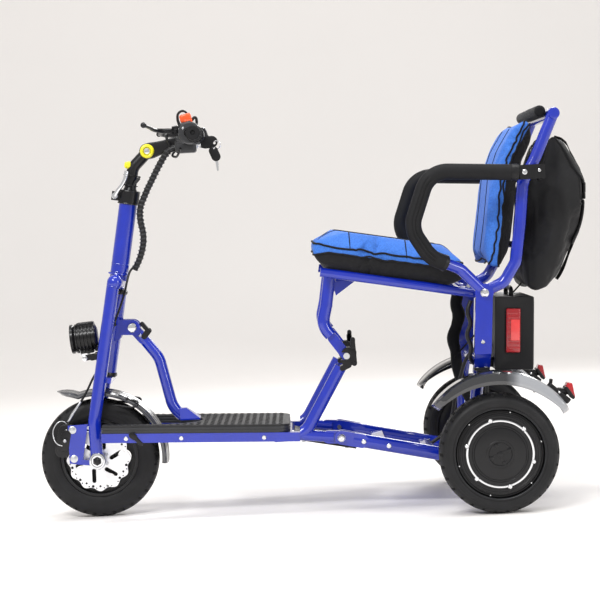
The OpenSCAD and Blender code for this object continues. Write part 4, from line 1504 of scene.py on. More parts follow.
@dataclass
class Handlebar:
    """The bar with its housing, lock, levers and grips, on the tilting elbow."""

    rig: Rig
    bar_r: float = 11.1
    grip_r: float = 16.2

    def build(self) -> None:
        """Makes the bar's pieces."""
        self.bar = self.rig.middle("throttle_twist")
        self.elbow = self.rig.middle("bar_tilt")
        self._arm()
        self._grips()
        self._housing()
        self._lock()
        self._levers()
        self._clamps()

    def _arm(self) -> None:
        """The stem arm with the elbow's yellow rings and button."""
        way = (self.bar - self.elbow).normalized()
        reach = (self.bar - self.elbow).length
        arm = Shape()
        spine = [(0, 17.2), (8, 17.2), (22, 15.2), (40, 13.8), (reach - 30, 13.6), (reach - 16, 16),
            (reach, 18.6), (reach + 12, 17.6), (reach + 19, 14.5)]
        for side in Side:
            wall = []
            across = at(0, 1, 0).cross(way)
            for h, r in spine:
                wall.append(self.elbow + way * h + across * r)
            for k in range(1, 8):
                t = math.pi * k / 8
                wall.append(self.elbow + way * (reach + 19 * math.sin(t) * 0.1 + 19.2) + across
                    * (14.5 * math.cos(t)))
            for h, r in reversed(spine):
                wall.append(self.elbow + way * h - across * r)
            for k in range(1, 8):
                t = math.pi * k / 8
                wall.append(self.elbow - way * (17.5 * math.sin(t)) - across * (17.5 * math.cos(t)))
            inner, outer = sided(side, 12.8), sided(side, 19)
            arm.slab([p + at(0, inner, 0) for p in wall], at(0, outer - inner, 0))
        arm.soften(2.2, 55, 3)
        arm.bar(self.elbow + way * 30, self.bar - way * 16, 12.6, 13.0, chamfer=2)
        arm.turned(self.bar - at(0, 22.5, 0), at(0, 1, 0), [(0, 11.2), (0, 17.4), (1.6, 19),
            (20.5, 19.2), (21.4, 18), (23.6, 18), (24.5, 19.2), (43.4, 19), (45, 17.4), (45, 11.2)],
            56, closed=True)
        arm.block(self.bar + at(-20, 0, 9), (17, 40, 15), 2.5, tilt=24)
        arm.piece("stem_arm_body", BLACK_METAL, "bars", ("stem_arm",))
        rings = Shape()
        bolts = Shape()
        for side in Side:
            out = at(0, side.value, 0)
            rings.turned(self.elbow + out * 19, out, [(-1, 8.6), (-1, 15.6), (1.6, 15.6),
                (4.4, 13.8), (5.4, 11.6), (4.4, 9.4), (3, 8.6)], 56, closed=True)
            bolts.turned(self.elbow + out * 19, out, [(0, 8.4), (3.2, 8.4), (6.2, 6.4), (6.8, 3.2),
                (5.2, 2.8), (5.2, 0)], 40)
        rings.piece("elbow_rings", YELLOW, "bars", ("stem_arm",))
        for y in (-13, 13):
            bolts.screw(self.bar + at(-25, y, 16), at(-0.42, 0, 0.9), 4.4, 4)
            bolts.screw(self.bar + at(13, y, 16), at(0.5, 0, 0.85), 4.2, 3.6)
        bolts.piece("arm_bolts", CHROME, "bars")

    def _grips(self) -> None:
        """The left grip and the throttle grip, ribbed along their length."""
        for side, name, node, body in ((Side.LEFT, "left_grip", "grip_left", "bars"),
                (Side.RIGHT, "twist_grip", "throttle_grip", "throttle")):
            out = at(0, side.value, 0)
            start = self.bar + out * (152 if side is Side.LEFT else 135)
            run = 84 if side is Side.LEFT else 101
            profile = [(0, self.bar_r + 0.2), (0, 15.2), (1.2, 18.4), (4.2, 18.4), (5.6, 15.2)]
            h = 9.0
            while h < run - 13:
                profile += [(h, 14.9), (h + 0.8, self.grip_r), (h + 4.2, self.grip_r),
                    (h + 5, 14.9)]
                h += 6.6
            profile += [(run - 7, 15), (run - 6, 15.9), (run - 1.8, 15.6), (run, 13.6), (run, 5.4),
                (run - 3.5, 4.6), (run - 3.5, 0)]
            shape = Shape().turned(start, out, profile, 60)
            rows = [f for f in shape.bm.faces if abs((f.calc_center_median() - start).dot(out) - run
                / 2) < run / 2 - 14 and self._off_axis(f) > self.grip_r - 0.3]
            shape.sunk(rows, 0.35, 0.5)
            shape.piece(name, GRIP, body, (node,))

    def _off_axis(self, face: bmesh.types.BMFace) -> float:
        """How far a face is from the bar's axis."""
        middle = face.calc_center_median()
        return math.hypot(middle.x - self.bar.x, middle.z - self.bar.z)

    def _housing(self) -> None:
        """The round switch housing with its orange switch."""
        low, high = self.rig.box("power_switch")
        centre = self.bar + at(-12, -150, 4)
        shell = Shape().turned(centre, at(0, 1, 0), [(0, 11.3), (0, 20.5), (1.6, 23), (4, 24),
            (18.4, 24), (19.4, 23.2), (20.6, 23.2), (21.6, 24), (42, 24), (44.4, 22.8), (46, 20),
            (46, 11.3)], 72, closed=True)
        shell.block(centre + at(-7, 20, 17), (26, 30, 14), 3, tilt=-14)
        shell.block(centre + at(-18, 25, -11), (18, 26, 18), 4, tilt=24)
        for y in (-1, 1):
            shell.block(centre + at(10, 22 + 9 * y, -21), (9, 8, 8), 2)
        shell.piece("switch_housing", GREY_PLASTIC, "bars", ("control_pod",))
        dark = Shape()
        dark.turned(centre - at(0, 0.6, 0), at(0, 1, 0), [(0, 0), (0, 7.2), (1.6, 8.6), (1.6, 0)],
            36)
        dark.piece("housing_plug", PLASTIC, "bars")
        screws = Shape()
        screws.screw(centre + at(13, -0.2, -10), NEAR, 2.4, 1.2)
        screws.screw(centre + at(-13, -0.2, 10), NEAR, 2.4, 1.2)
        screws.piece("housing_screws", STEEL, "bars")
        rocker = Shape()
        middle = (low + high) / 2
        rocker.block(middle + at(0, 0, -1), (high.x - low.x, high.y - low.y, high.z - low.z), 2.4)
        rocker.block(middle + at(-5, 0, 8), (25, high.y - low.y - 1, 17), 3.4, tilt=-12)
        for k in range(4):
            rocker.block(middle + at(-13 + 5.4 * k, 0, 16.2 + 1.1 * k - 1.4), (2.2, 12, 2.4), 0.8,
                tilt=-12)
        rocker.piece("orange_rocker", ORANGE, "power_button", ("power_switch",))
        hook = Shape()
        hook.swept([at(low.x - 9, middle.y, low.z - 2), at(low.x - 13, middle.y, high.z + 2),
            at(low.x - 10, middle.y, high.z + 13), at(low.x, middle.y, high.z + 17),
            at(low.x + 8, middle.y, high.z + 12)], 2.6, 12, radii=[1.3, 1.1, 1, 1, 0.8])
        hook.swept([at(high.x - 1, middle.y, high.z - 4), at(high.x + 6, middle.y, high.z + 2),
            at(high.x + 9, middle.y, high.z - 6), at(high.x + 8, middle.y, high.z - 14)], 3, 12)
        hook.piece("housing_hook", PLASTIC, "bars")

    def _lock(self) -> None:
        """The lock housing with the display, and the key with its spare."""
        turn = self.rig.pivot("key_turn")
        body = Shape()
        body.block(at(-258, -72, 811), (46, 40, 29), 6)
        body.block(at(-262, -72, 829), (34, 33, 7), 3, tilt=-9)
        body.turned(self.bar - at(0, 92, 0), at(0, 1, 0), [(0, 11.3), (0, 16), (1.5, 17.2),
            (38.5, 17.2), (40, 16), (40, 11.3)], 48, closed=True)
        body.piece("lock_housing", GREY_PLASTIC, "bars", ("control_pod",))
        face = Shape()
        face.block(at(-263, -72, 832.4), (26, 25, 2), 0.9, tilt=-9)
        face.piece("display_glass", SMOKE, "bars")
        low, _ = self.rig.box("ignition_key")
        collar = Shape().turned(at(-235.5, turn.y, turn.z), at(1, 0, 0),
            [(-2, 5.3), (-2, 9), (2.2, 9), (3.4, 7.8), (3.4, 5.3)], 40, closed=True)
        collar.piece("lock_collar", STEEL, "bars")
        barrel = Shape().turned(at(low.x, turn.y, turn.z), at(1, 0, 0),
            [(0, 0), (0, 4.6), (14, 4.8), (15, 4.2), (15, 0)], 36)
        barrel.plate(capsule((-228, turn.z), (-217, turn.z), 6.5), -73.2, -70.8)
        barrel.piece("key_blade", STEEL, "key", ("ignition_key",))
        swing = self.rig.pivot("fob_swing")
        bow = Shape().plate(capsule((swing.x - 15, swing.z + 4), (swing.x - 1, swing.z + 5), 26,
            16), -75.4, -68.6, (circle(swing.x + 5, swing.z + 2, 2.7, 16),))
        bow.soften(1.4, 50, 3)
        bow.piece("key_bow", PLASTIC, "key", ("ignition_key",))
        ring = Shape().ring(at(swing.x + 9, -72, swing.z - 2), at(0, 1, 0.2), 8.8, 1.1, 48)
        ring.ring(at(swing.x + 8.8, -73, swing.z - 2), at(0, 1, 0.2), 8.8, 1.1, 48)
        ring.piece("key_ring", CHROME, "fob", ("key_fob",))
        spare = Shape().plate(capsule((swing.x + 2, swing.z - 15), (swing.x + 7, swing.z - 28), 20,
            12), -84, -78.6, (circle(swing.x + 4, swing.z - 9, 2.4, 14),))
        spare.soften(1.2, 50, 3)
        spare.piece("spare_key_bow", PLASTIC, "fob", ("key_fob",))
        x, z = swing.x + 5, swing.z - 36
        blade = Shape().plate([(x, z), (x + 6, z), (x + 7, z - 10), (x + 5.6, z - 12),
            (x + 7, z - 14), (x + 6, z - 17), (x + 7, z - 19), (x + 5, z - 24), (x + 2.6, z - 22)],
            -82.6, -80.8)
        blade.piece("spare_key_blade", STEEL, "fob", ("key_fob",))

    def _levers(self) -> None:
        """The two brake levers with ball ends, and their adjusters."""
        for side in Side:
            s = side.value
            pivot = self.rig.pivot(f"brake_{side.word}")
            pivot.y = s * abs(pivot.y)
            blade = Shape()
            route = [pivot + at(4, 0, 0), pivot + at(-14, 3 * s, 0.5), pivot + at(-36, 16 * s, 2),
                pivot + at(-46, 36 * s, 4), pivot + at(-51, 70 * s, 6.6),
                pivot + at(-60, 122 * s, 10)]
            blade.swept(route, 4.4, 16, radii=[1.3, 1.35, 1.15, 1.0, 0.9, 0.85])
            blade.ball(route[-1], 6.2)
            blade.turned(pivot - at(0, 0, 4.2), at(0, 0, 1), [(0, 2.6), (0, 8.4), (0.8, 9.2),
                (7.6, 9.2), (8.4, 8.4), (8.4, 2.6)], 40, closed=True)
            blade.piece(f"brake_lever_{side.word}_blade", BLACK_METAL, f"lever_{side.word}",
                (f"brake_lever_{side.word}",))
            pin = Shape()
            pin.bar(pivot - at(0, 0, 9.8), pivot + at(0, 0, 10.6), 2.45, chamfer=0.4)
            pin.screw(pivot + at(0, 0, 10), at(0, 0, 1), 4.4, 2)
            pin.piece(f"lever_pin_{side.word}", CHROME, f"lever_{side.word}")
            adjust = Shape()
            seat = pivot + at(2, -10 * s, 0)
            way = at(0.25, -s, 0).normalized()
            adjust.bar(seat, seat + way * 7, 4.6, sides=6, chamfer=0.5)
            adjust.bar(seat + way * 6, seat + way * 15, 3.1, chamfer=0.5)
            adjust.bar(seat + way * 13.5, seat + way * 18, 4.1, chamfer=0.7)
            adjust.piece(f"cable_adjuster_{side.word}", CHROME, "bars")

    def _clamps(self) -> None:
        """Clamp screws on the perches."""
        shape = Shape()
        for side in Side:
            s = side.value
            for z in (-12, 12):
                shape.screw(self.bar + at(-17, 110 * s, z), at(-1, 0, 0.1), 2.9, 2.4)
        shape.piece("perch_screws", STEEL, "bars")


@dataclass
class Cables:
    """The wrapped loom from the bars down to the column, and the thin wires."""

    rig: Rig
    loom_r: float = 6.6

    def build(self) -> None:
        """Makes the cables."""
        top = [at(-272, -34, 812), at(-286, -34, 810), at(-301, -33, 803), at(-312, -31, 789),
            at(-324, -29, 770), at(-336, -27, 749), at(-349, -24.8, 726)]
        low = [at(-349, -24.8, 726), at(-360, -23, 704), at(-368, -21.5, 686), at(-371, -19, 668),
            at(-370, -16, 649), at(-367, -12, 630), at(-367, -8, 610), at(-371, -5, 590),
            at(-379, -3, 568), at(-391, -1, 546)]
        for name, route, node, ends in (("loom_upper", top, "cable_bars", ("bars", "post")),
                ("loom_lower", low, "cable_post", ("post", "steerer"))):
            core = Shape().swept(route, self.loom_r, 20)
            made = core.piece(name, SHEATH, None, (node,))
            self._bend(made, ends, route)
            wrap = Shape().swept(self._helix(route), 1.5, 8)
            made = wrap.piece(f"{name}_wrap", GREY_PLASTIC, None)
            self._bend(made, ends, route)
        self._wires()

    @staticmethod
    def _bend(piece: bpy.types.Object, ends: tuple[str, str], route: list[Vector]) -> None:
        """Bakes a piece's transform into its mesh; the piece rides on no body."""
        first, last = route[0] * MM, route[-1] * MM
        tuple(first)
        tuple(last)
        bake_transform(piece)

    def _helix(self, route: list[Vector]) -> list[Vector]:
        """A spiral round a route."""
        points = []
        turns = 0.0
        for start, end in zip(route, route[1:]):
            way = (end - start).normalized()
            side = way.cross(at(0, 1, 0)).normalized()
            up = way.cross(side)
            count = max(6, int((end - start).length / 1.6))
            for k in range(count):
                t = turns + (end - start).length * k / count / 9.5 * 2 * math.pi
                spot = start.lerp(end, k / count)
                points.append(spot + (side * math.cos(t) + up * math.sin(t)) * (self.loom_r + 0.2))
            turns += (end - start).length / 9.5 * 2 * math.pi
        return points

    def _wires(self) -> None:
        """Thin cables from the levers into the loom, and in front of the post."""
        bar = self.rig.pivot("throttle_twist")
        wires = Shape()
        start = bar + at(-41, 0, 11)
        start.y = -88
        wires.swept([start, at(-290, -64, 846), at(-300, -44, 838), at(-297, -36, 822),
            at(-290, -34, 810), at(-280, -34, 806)], 2.3, 10)
        start = at(start.x, 88, start.z)
        wires.swept([start, at(-292, 60, 848), at(-304, 20, 846), at(-304, -14, 836),
            at(-296, -28, 818), at(-284, -33, 808)], 2.3, 10)
        wires.swept([at(-268, -108, 806), at(-276, -84, 792), at(-284, -56, 790),
            at(-290, -38, 796), at(-284, -34, 804)], 2.6, 10)
        wires.piece("lever_cables", SHEATH, "bars")
        front = Shape()
        front.swept([at(-366, -13, 752), at(-380, -16, 736), at(-386, -15, 712), at(-388, -13, 690),
            at(-394, -14, 672), at(-403, -16, 655)], 2.2, 10)
        front.swept([at(-368, -4, 748), at(-384, -5, 728), at(-390, -5, 704), at(-392, -4, 684),
            at(-396, -6, 664)], 2.2, 10)
        front.piece("post_cables", SHEATH, "post")


def ribbon(points: list[Vector], across: list[Vector], piece: bpy.types.Object, lift: float,
        rows: int = 4) -> Shape:
    """Lays a band of cloth on a piece's surface.

    Args:
        points: the middle of the band.
        across: its whole width at each point, as a vector.
        piece: the piece that it lies on.
        lift: how far it stands off the surface.
        rows: how many strips it is made of.

    Returns:
        The band, as an open sheet.
    """
    shape = Shape()
    last: list[bmesh.types.BMEdge] = []
    for row in range(rows + 1):
        share = row / rows - 0.5
        bulge = lift + 0.8 * (1 - (2 * share) ** 2)
        line = hugging([p + a * share for p, a in zip(points, across)], piece, bulge)
        _, edges = shape.chain(line)
        if last:
            bmesh.ops.bridge_loops(shape.bm, edges=last + edges)
        last = edges
    return shape


def resampled(points: list[Vector], step: float, closed: bool = False) -> list[Vector]:
    """Spaces a route's points evenly."""
    line = list(points) + ([points[0]] if closed else [])
    route = []
    for start, end in zip(line, line[1:]):
        count = max(1, round((end - start).length / step))
        route += [start.lerp(end, k / count) for k in range(count)]
    return route if closed else route + [line[-1]]


@dataclass
class Seat:
    """The seat cushion: a swollen pad with a blue face, piping and sewn lines."""

    rig: Rig
    half: float = 181.0
    voxel: float = 5.0
    pressure: float = 4.0
    travel: float = 24.0
    band: float = 17.0

    def build(self) -> None:
        """Makes the cushion, its piping and its seams."""
        shape = Shape()
        shape.plate([(14, 595), (4, 589), (1, 578), (3, 562), (10, 551), (34, 543), (70, 536),
            (306, 490), (322, 489), (328, 496), (328, 526), (322, 535), (308, 539)], -self.half,
            self.half)
        shape.soften(9, 60, 4)
        pad = shape.piece("seat_pad", SEAT_CLOTH, None, ("seat_cushion",))
        swell(pad, self.voxel, self.pressure, self.travel)
        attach(pad, "rear")
        self._edging(pad)
        self._quilting(pad)

    def _rim(self, drop: float, dip: float = 0.0) -> list[Vector]:
        """The cushion's outline at a depth below its top, which grows towards the front end."""
        x0, x1, y = -3, 336, self.half + 6
        plan = fillet([at(x1, -y, 0), at(x0, -y, 0), at(x0, y, 0), at(x1, y, 0)], 34, 8,
            closed=True)
        route = resampled(plan, 9, closed=True)
        for point in route:
            point.z = 600 - (point.x + 4) * 0.186 - drop - dip * max(0.0, 40 - point.x)
        return route

    def _edging(self, pad: bpy.types.Object) -> None:
        """The two pipings around the cushion's blue face."""
        piping = Shape()
        for drop, radius, dip in ((8, 2.2, 0.0), (9.5 + self.band, 1.9, 0.3)):
            piping.swept(hugging(self._rim(drop, dip), pad, 1.2), radius, 10, closed=True)
        piping.piece("seat_piping", FABRIC, "rear")

    def _quilting(self, pad: bpy.types.Object) -> None:
        """Seams across and along the top."""
        seams = Shape()
        for x in (86, 206):
            line = resampled([at(x, -self.half + 10, 640), at(x, self.half - 10, 640)], 9)
            seams.swept(hugging(self._dropped(line, pad), pad, 0.2), 1.2, 8)
        for y in (-96, 96):
            line = resampled([at(20, y, 640), at(312, y, 640)], 9)
            seams.swept(hugging(self._dropped(line, pad), pad, 0.2), 1.2, 8)
        seams.piece("seat_seams", FABRIC, "rear")

    @staticmethod
    def _dropped(line: list[Vector], pad: bpy.types.Object) -> list[Vector]:
        """Drops a line straight down onto the pad."""
        tree = BVHTree.FromObject(pad, bpy.context.evaluated_depsgraph_get())
        route = []
        for point in line:
            hit = tree.ray_cast(point * MM, at(0, 0, -1))[0]
            route.append(hit / MM if hit is not None else point)
        return route


@dataclass
class Backrest:
    """The padded back with its blue face, its roll and the bag behind."""

    rig: Rig
    half: float = 161.0
    voxel: float = 5.0
    band: float = 14.0

    def build(self) -> None:
        """Makes the back's pieces."""
        self._pad()
        self._bag()
        self._bar_ends()

    def _pad(self) -> None:
        """The pad, its pipings and its roll."""
        spine = [at(398, 0, 521), at(412, 0, 610), at(425, 0, 700), at(443, 0, 752),
            at(486, 0, 822)]
        front = [(388, 514), (385, 524), (400, 611), (413, 702), (432, 756), (477, 826), (485, 829)]
        rear = [(492, 820), (453, 748), (437, 698), (424, 609), (412, 520), (404, 512)]
        shape = Shape()
        shape.plate(front + rear, -self.half, self.half)
        shape.soften(6, 50, 3)
        pad = shape.piece("back_pad", BACK_CLOTH, None, ("backrest_pad",))
        swell(pad, self.voxel, 3.0, 16)
        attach(pad, "backrest")
        side = [p + at(0, -self.half - 6, 0) for p in spine]
        loop = fillet(side + [at(p.x, -p.y, p.z) for p in reversed(side)], 26, 6, closed=True)
        loop = resampled(loop, 9, closed=True)
        across = [self._depth(p, spine) for p in loop]
        loop = [p - a * 4.5 for p, a in zip(loop, across)]
        piping = Shape()
        for share in (-0.56, 0.56):
            line = [p + a * self.band * share for p, a in zip(loop, across)]
            piping.swept(hugging(line, pad, 1.0), 2.0, 10, closed=True)
        for y in (-70, 70):
            line = [at(p.x - 30, y, p.z) for p in resampled(spine, 12)[1:-1]]
            piping.swept(hugging(line, pad, 0.2), 1.2, 8)
        piping.piece("back_piping", FABRIC, "backrest")
        roll = Shape()
        roll.turned(at(506, -self.half - 4, 843), at(0, 1, 0), [(0, 0), (0, 8), (3, 11.6), (9, 13),
            (165, 13.6), (321, 13), (327, 11.6), (330, 8), (330, 0)], 40)
        roll.piece("back_roll", FABRIC, "backrest")

    @staticmethod
    def _depth(point: Vector, spine: list[Vector]) -> Vector:
        """The direction through the pad at a point, from its front to its back."""
        best = min(range(len(spine) - 1),
            key=lambda i: abs((spine[i].z + spine[i + 1].z) / 2 - point.z))
        way = (spine[best + 1] - spine[best]).normalized()
        return at(way.z, 0, -way.x)

    def _bag(self) -> None:
        """The soft bag with its flap, pocket, straps and buckles."""
        shape = Shape()
        shape.plate([(474, 566), (484, 690), (508, 742), (529, 792), (541, 796), (557, 768),
            (574, 724), (590, 700), (590, 636), (567, 575), (536, 508), (510, 463), (484, 451),
            (464, 466), (464, 520)], -140, 140)
        shape.soften(12, 60, 3)
        bag = shape.piece("bag_body", NYLON, None, ("bag",))
        swell(bag, 6.0, 2.2, 10)
        ruck(bag, 6.0, 30)
        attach(bag, "backrest")
        edge = [(484, 696), (508, 746), (531, 800), (545, 800), (578, 726), (596, 706), (596, 650)]
        piping = Shape()
        for y in (-132, 132):
            line = resampled([at(x, y, z) for x, z in edge], 8)
            piping.swept(hugging(line, bag, 0.6), 2.0, 10)
        for z in (640, 520):
            line = resampled([at(610, -142, z), at(610, 142, z)], 8)
            piping.swept(hugging(line, bag, 0.5), 1.8, 10)
        piping.piece("bag_piping", NYLON, "backrest")
        flap = ribbon(resampled([at(577, -136, 735), at(577, 136, 735)], 10), [at(44, 0, -96)] * 40,
            bag, 2.6, rows=8)
        flap.bm.verts.ensure_lookup_table()
        for vert in flap.bm.verts:
            drop = max(0.0, 712 - vert.co.z) / 26
            vert.co.x += 9 * drop * (0.7 + 0.3 * math.cos(vert.co.y / 26))
        flap.piece("bag_flap", NYLON, "backrest", wall=2.2, levels=1)
        pocket = ribbon(resampled([at(590, -112, 602), at(590, 112, 602)], 10),
            [at(40, 0, 96)] * 40, bag, 5.0, rows=8)
        pocket.piece("bag_pocket", NYLON, "backrest", wall=6.0, levels=1)
        for y in (-78, 78):
            strap = ribbon(resampled([at(545, y, 806), at(604, y, 712), at(604, y, 640),
                at(578, y, 560), at(536, y, 480)], 9), [at(0, 22, 0)] * 60, bag, 7.5, rows=3)
            strap.piece(f"bag_strap_{'left' if y < 0 else 'right'}", FABRIC, "backrest", wall=1.6)
        buckles = Shape()
        for y in (-78, 78):
            buckles.block(at(604, y, 676), (7, 30, 24), 2.6, tilt=2)
            buckles.block(at(604, y, 658), (6, 22, 14), 2.2, tilt=2)
        buckles.piece("bag_buckles", PLASTIC, "backrest")

    def _bar_ends(self) -> None:
        """Blue end caps of the top bar."""
        top = at(531, 0, 836)
        caps = Shape()
        for side in Side:
            out = at(0, side.value, 0)
            caps.turned(top + out * 193.5, out, [(0, 0), (0, 12.7), (1.6, 12.7), (3.2, 11.2),
                (4, 8), (4, 0)], 40)
        caps.piece("top_bar_caps", BLUE, "backrest")


@dataclass
class Armrests:
    """The foam sleeves on the armrests."""

    rig: Rig
    foam_r: float = 17.0
    bend: float = 54.0

    def build(self) -> None:
        """Makes both sleeves with their creases and end caps."""
        for side in Side:
            s = side.value
            corners = [at(284, 221 * s, 531), at(252, 235 * s, 545), at(214, 235 * s, 608),
                at(258, 235 * s, 726), at(440, 235 * s, 714.4)]
            route = resampled(fillet(corners, self.bend, 18), 7)
            sleeve = Shape().swept(route, self.foam_r, 36, straight=True)
            self._crease(sleeve, route, s)
            made = sleeve.piece(f"armrest_foam_{side.word}", GRIP, "rear", ("armrest_pads",))
            ends = Shape()
            ends.turned(route[0], route[0] - route[1], [(-7, 12), (-7, 17.4), (0, 18), (1.6, 16.6),
                (1.6, 12.2)], 40, closed=True)
            ends.turned(route[-1], route[-1] - route[-2], [(-9, 12), (-9, 17.6), (0, 18.2),
                (6, 17.4), (6, 12.2)], 40, closed=True)
            ends.piece(f"armrest_bands_{side.word}", PLASTIC, "rear")
            bolt = Shape().screw(at(457, 250.2 * s, 714), at(0, s, 0), 5.4, 3)
            bolt.screw(at(488, 250.2 * s, 716), at(0, s, 0), 3.2, 1.8)
            bolt.piece(f"armrest_bolts_{side.word}", CHROME, "rear")

    def _crease(self, sleeve: Shape, route: list[Vector], s: int) -> None:
        """Presses two sewn lines into the outer face of the front stretch."""
        for vert in sleeve.bm.verts:
            near = min(route, key=lambda p: (p - vert.co).length_squared)
            index = route.index(near)
            ahead = route[min(index + 1, len(route) - 1)] - route[max(index - 1, 0)]
            off = vert.co - near
            if off.length < self.foam_r - 1.5:
                continue
            side = ahead.normalized().cross(at(0, s, 0))
            if side.length < 0.1 or off.y * s < 0:
                continue
            across = off.dot(side.normalized())
            dip = sum(math.exp(-((across - line) / 1.7) ** 2) for line in (-4.6, 4.6))
            if near.x < 262 and near.z < 716:
                vert.co -= off.normalized() * 2.2 * dip


@dataclass
class RearBody:
    """The rear frame's dressing: mudguards, reflectors, battery and bolts."""

    rig: Rig
    guard_r: float = 170.0

    def build(self) -> None:
        """Makes the rear's pieces."""
        self.axle = self.rig.middle("wheel_left_spin")
        for side in Side:
            self._mudguard(side)
            self._reflector(side)
        self._battery()
        self._lamp()
        self._wires()
        self._bolts()
        self._knee_levers()

    def _mudguard(self, side: Side) -> None:
        """One crowned mudguard with pointed ends and a rib along it."""
        s, r = side.value, self.guard_r
        hub = self.axle + at(0, 238 * s, 0)
        section = [(38.4, r - 24), (38.4, r - 16), (38, r - 8), (36.6, r - 1.6), (33, r + 1.2),
            (26, r + 1.9), (24, r + 3), (22, r + 3), (20, r + 2), (0, r + 2.4), (-20, r + 2),
            (-30, r + 1), (-36, r - 2), (-38, r - 6)]
        shape = Shape().arc(hub, [(y * s, radius) for y, radius in section], 36, 134, 56)
        for vert in shape.bm.verts:
            off = vert.co - hub
            reach = math.hypot(off.x, off.z)
            turn = (math.degrees(math.atan2(off.z, off.x)) - 86) / 60
            if reach < r - 1:
                lip = r - (r - reach) * math.sqrt(max(0.05, 1 - turn * turn))
                vert.co = hub + at(off.x * lip / reach, off.y, off.z * lip / reach)
        for turn, reach in ((36, -1), (134, 1)):
            way = math.radians(turn)
            rim = {v for v in shape.bm.verts if abs(math.atan2(v.co.z - hub.z, v.co.x - hub.x)
                - way) < 0.003}
            edges = [e for e in shape.bm.edges if set(e.verts) <= rim]
            for width, step in ((0.97, 2.0), (0.88, 2.0), (0.66, 2.2), (0.3, 1.8)):
                moved, edges = shape.grown(edges)
                spin = Matrix.Rotation(-math.radians(step * reach), 3, "Y")
                bmesh.ops.rotate(shape.bm, cent=hub, matrix=spin, verts=moved)
                for vert in moved:
                    vert.co.y = hub.y + (vert.co.y - hub.y) * width
        shape.piece(f"rear_mudguard_{side.word}", GUARD, "rear", ("rear_fenders",), wall=2.6)
        bracket = Shape()
        bracket.block(at(352, 197 * s, 302), (34, 22, 5), 1.4)
        bracket.block(at(352, 204 * s, 299), (26, 24, 4), 1.2)
        bracket.piece(f"mudguard_bracket_{side.word}", BLACK_METAL, "rear")
        screws = Shape()
        for x in (343, 361):
            screws.screw(at(x, 200 * s, 304), at(0, 0, 1), 3.4, 2.4)
        screws.piece(f"mudguard_screws_{side.word}", CHROME, "rear")

    def _reflector(self, side: Side) -> None:
        """A red reflector, wide above and narrow below, on its black holder."""
        s = side.value
        hold = around(self.axle, 172, 44, 0)
        holder = Shape()
        holder.block(hold + at(8, 238 * s, -1), (56, 30, 13), 2.6, tilt=42)
        holder.block(hold + at(-8, 238 * s, 19), (7, 9, 22), 1.6, tilt=10)
        holder.block(hold + at(15, 238 * s, 5), (16, 26, 9), 2, tilt=8)
        holder.piece(f"reflector_holder_{side.word}", PLASTIC, "rear", ("reflectors",))
        corners = [at(521, 0, 256), at(526, 0, 268), at(536, 0, 266), at(542, 0, 231),
            at(536, 0, 236)]
        outline = [(p.x, p.z) for p in fillet(corners, 2.2, 5, closed=True)]
        lens = Shape().plate(outline, 222 * s, 254 * s)
        lens.soften(2.0, 50, 3)
        lens.piece(f"reflector_lens_{side.word}", RED_LENS, "rear", ("reflectors",))
        back = Shape().plate(capsule((523, 256), (536, 236), 7), 219 * s, 257 * s)
        back.plate(capsule((508, 240), (531, 247), 7), 232 * s, 244 * s)
        back.soften(1, 60, 2)
        back.piece(f"reflector_back_{side.word}", PLASTIC, "rear")
        dot = Shape().screw(hold + at(8, 223 * s, 2) - at(0, 15, 0) * (1 - s) / 2 * 2, NEAR, 2.6,
            1.6)
        dot.piece(f"reflector_screw_{side.word}", CHROME, "rear")

    def _battery(self) -> None:
        """The battery case with its recess, panels, handle and latch."""
        turn = Matrix.Rotation(math.radians(3), 4, "Y")
        place = Matrix.Translation(at(388, 0, 291)) @ turn
        shape = Shape()
        made = bmesh.ops.create_cube(shape.bm, size=1,
            matrix=place @ Matrix.Translation(at(42, 0, 80)) @ Matrix.Diagonal((84, 236, 160, 1)))
        verts = made["verts"]
        faces = {f for v in verts for f in v.link_faces}
        for face in list(faces):
            face.normal_update()
            if abs(face.normal.y) > 0.9:
                shape.sunk([face], 23, 7.5 if face.calc_center_median().y < 0 else 2)
            elif face.normal.x > 0.9:
                shape.sunk([face], 13, -2.5)
            elif face.normal.z > 0.9:
                shape.sunk([face], 9, 1.6)
        shape.soften(3.2, 40, 3)
        for z in (40, 60, 80, 100, 120):
            shape.block(place @ at(86.4, 0, z), (3, 190, 4), 1.2, tilt=3)
        shape.piece("battery_shell", PLASTIC, "rear", ("battery_case",))
        handle = Shape().swept([place @ at(42, -52, 158), place @ at(42, -50, 170),
            place @ at(42, -38, 174), place @ at(42, 0, 175), place @ at(42, 38, 174),
            place @ at(42, 50, 170), place @ at(42, 52, 158)], 5, 14)
        handle.piece("battery_handle", PLASTIC, "rear")
        latch = Shape()
        latch.block(place @ at(87, 0, 140), (5, 34, 20), 1.6, tilt=3)
        latch.turned(place @ at(86, 60, 140), at(1, 0, -0.05), [(0, 0), (0, 7), (3, 6.4), (3, 2),
            (2, 0)], 28)
        latch.piece("battery_lock", BLACK_METAL, "rear")
        feet = Shape()
        for y in (-67, 67):
            feet.block(place @ at(-4, y, 12), (12, 22, 18), 2, tilt=3)
        feet.piece("battery_feet", BLACK_METAL, "rear")

    def _lamp(self) -> None:
        """The tall red lamp in the battery's side, with its bright core."""
        low, high = self.rig.box("tail_lamp")
        middle = (low + high) / 2
        lens = Shape().block(middle, (31, 6.6, high.z - low.z - 4), 2.4, tilt=3)
        for k in range(9):
            lens.block(middle + at(0, -3.3, -38 + 9.5 * k), (24, 1.4, 5.4), 0.6, tilt=3)
        lens.piece("tail_lamp_lens", RED_LENS, "rear", ("tail_lamp",))
        core = Shape().block(middle + at(4, -4.1, 1), (19, 2.2, 46), 0.9, tilt=3)
        core.piece("tail_lamp_core", GLOW, "rear")

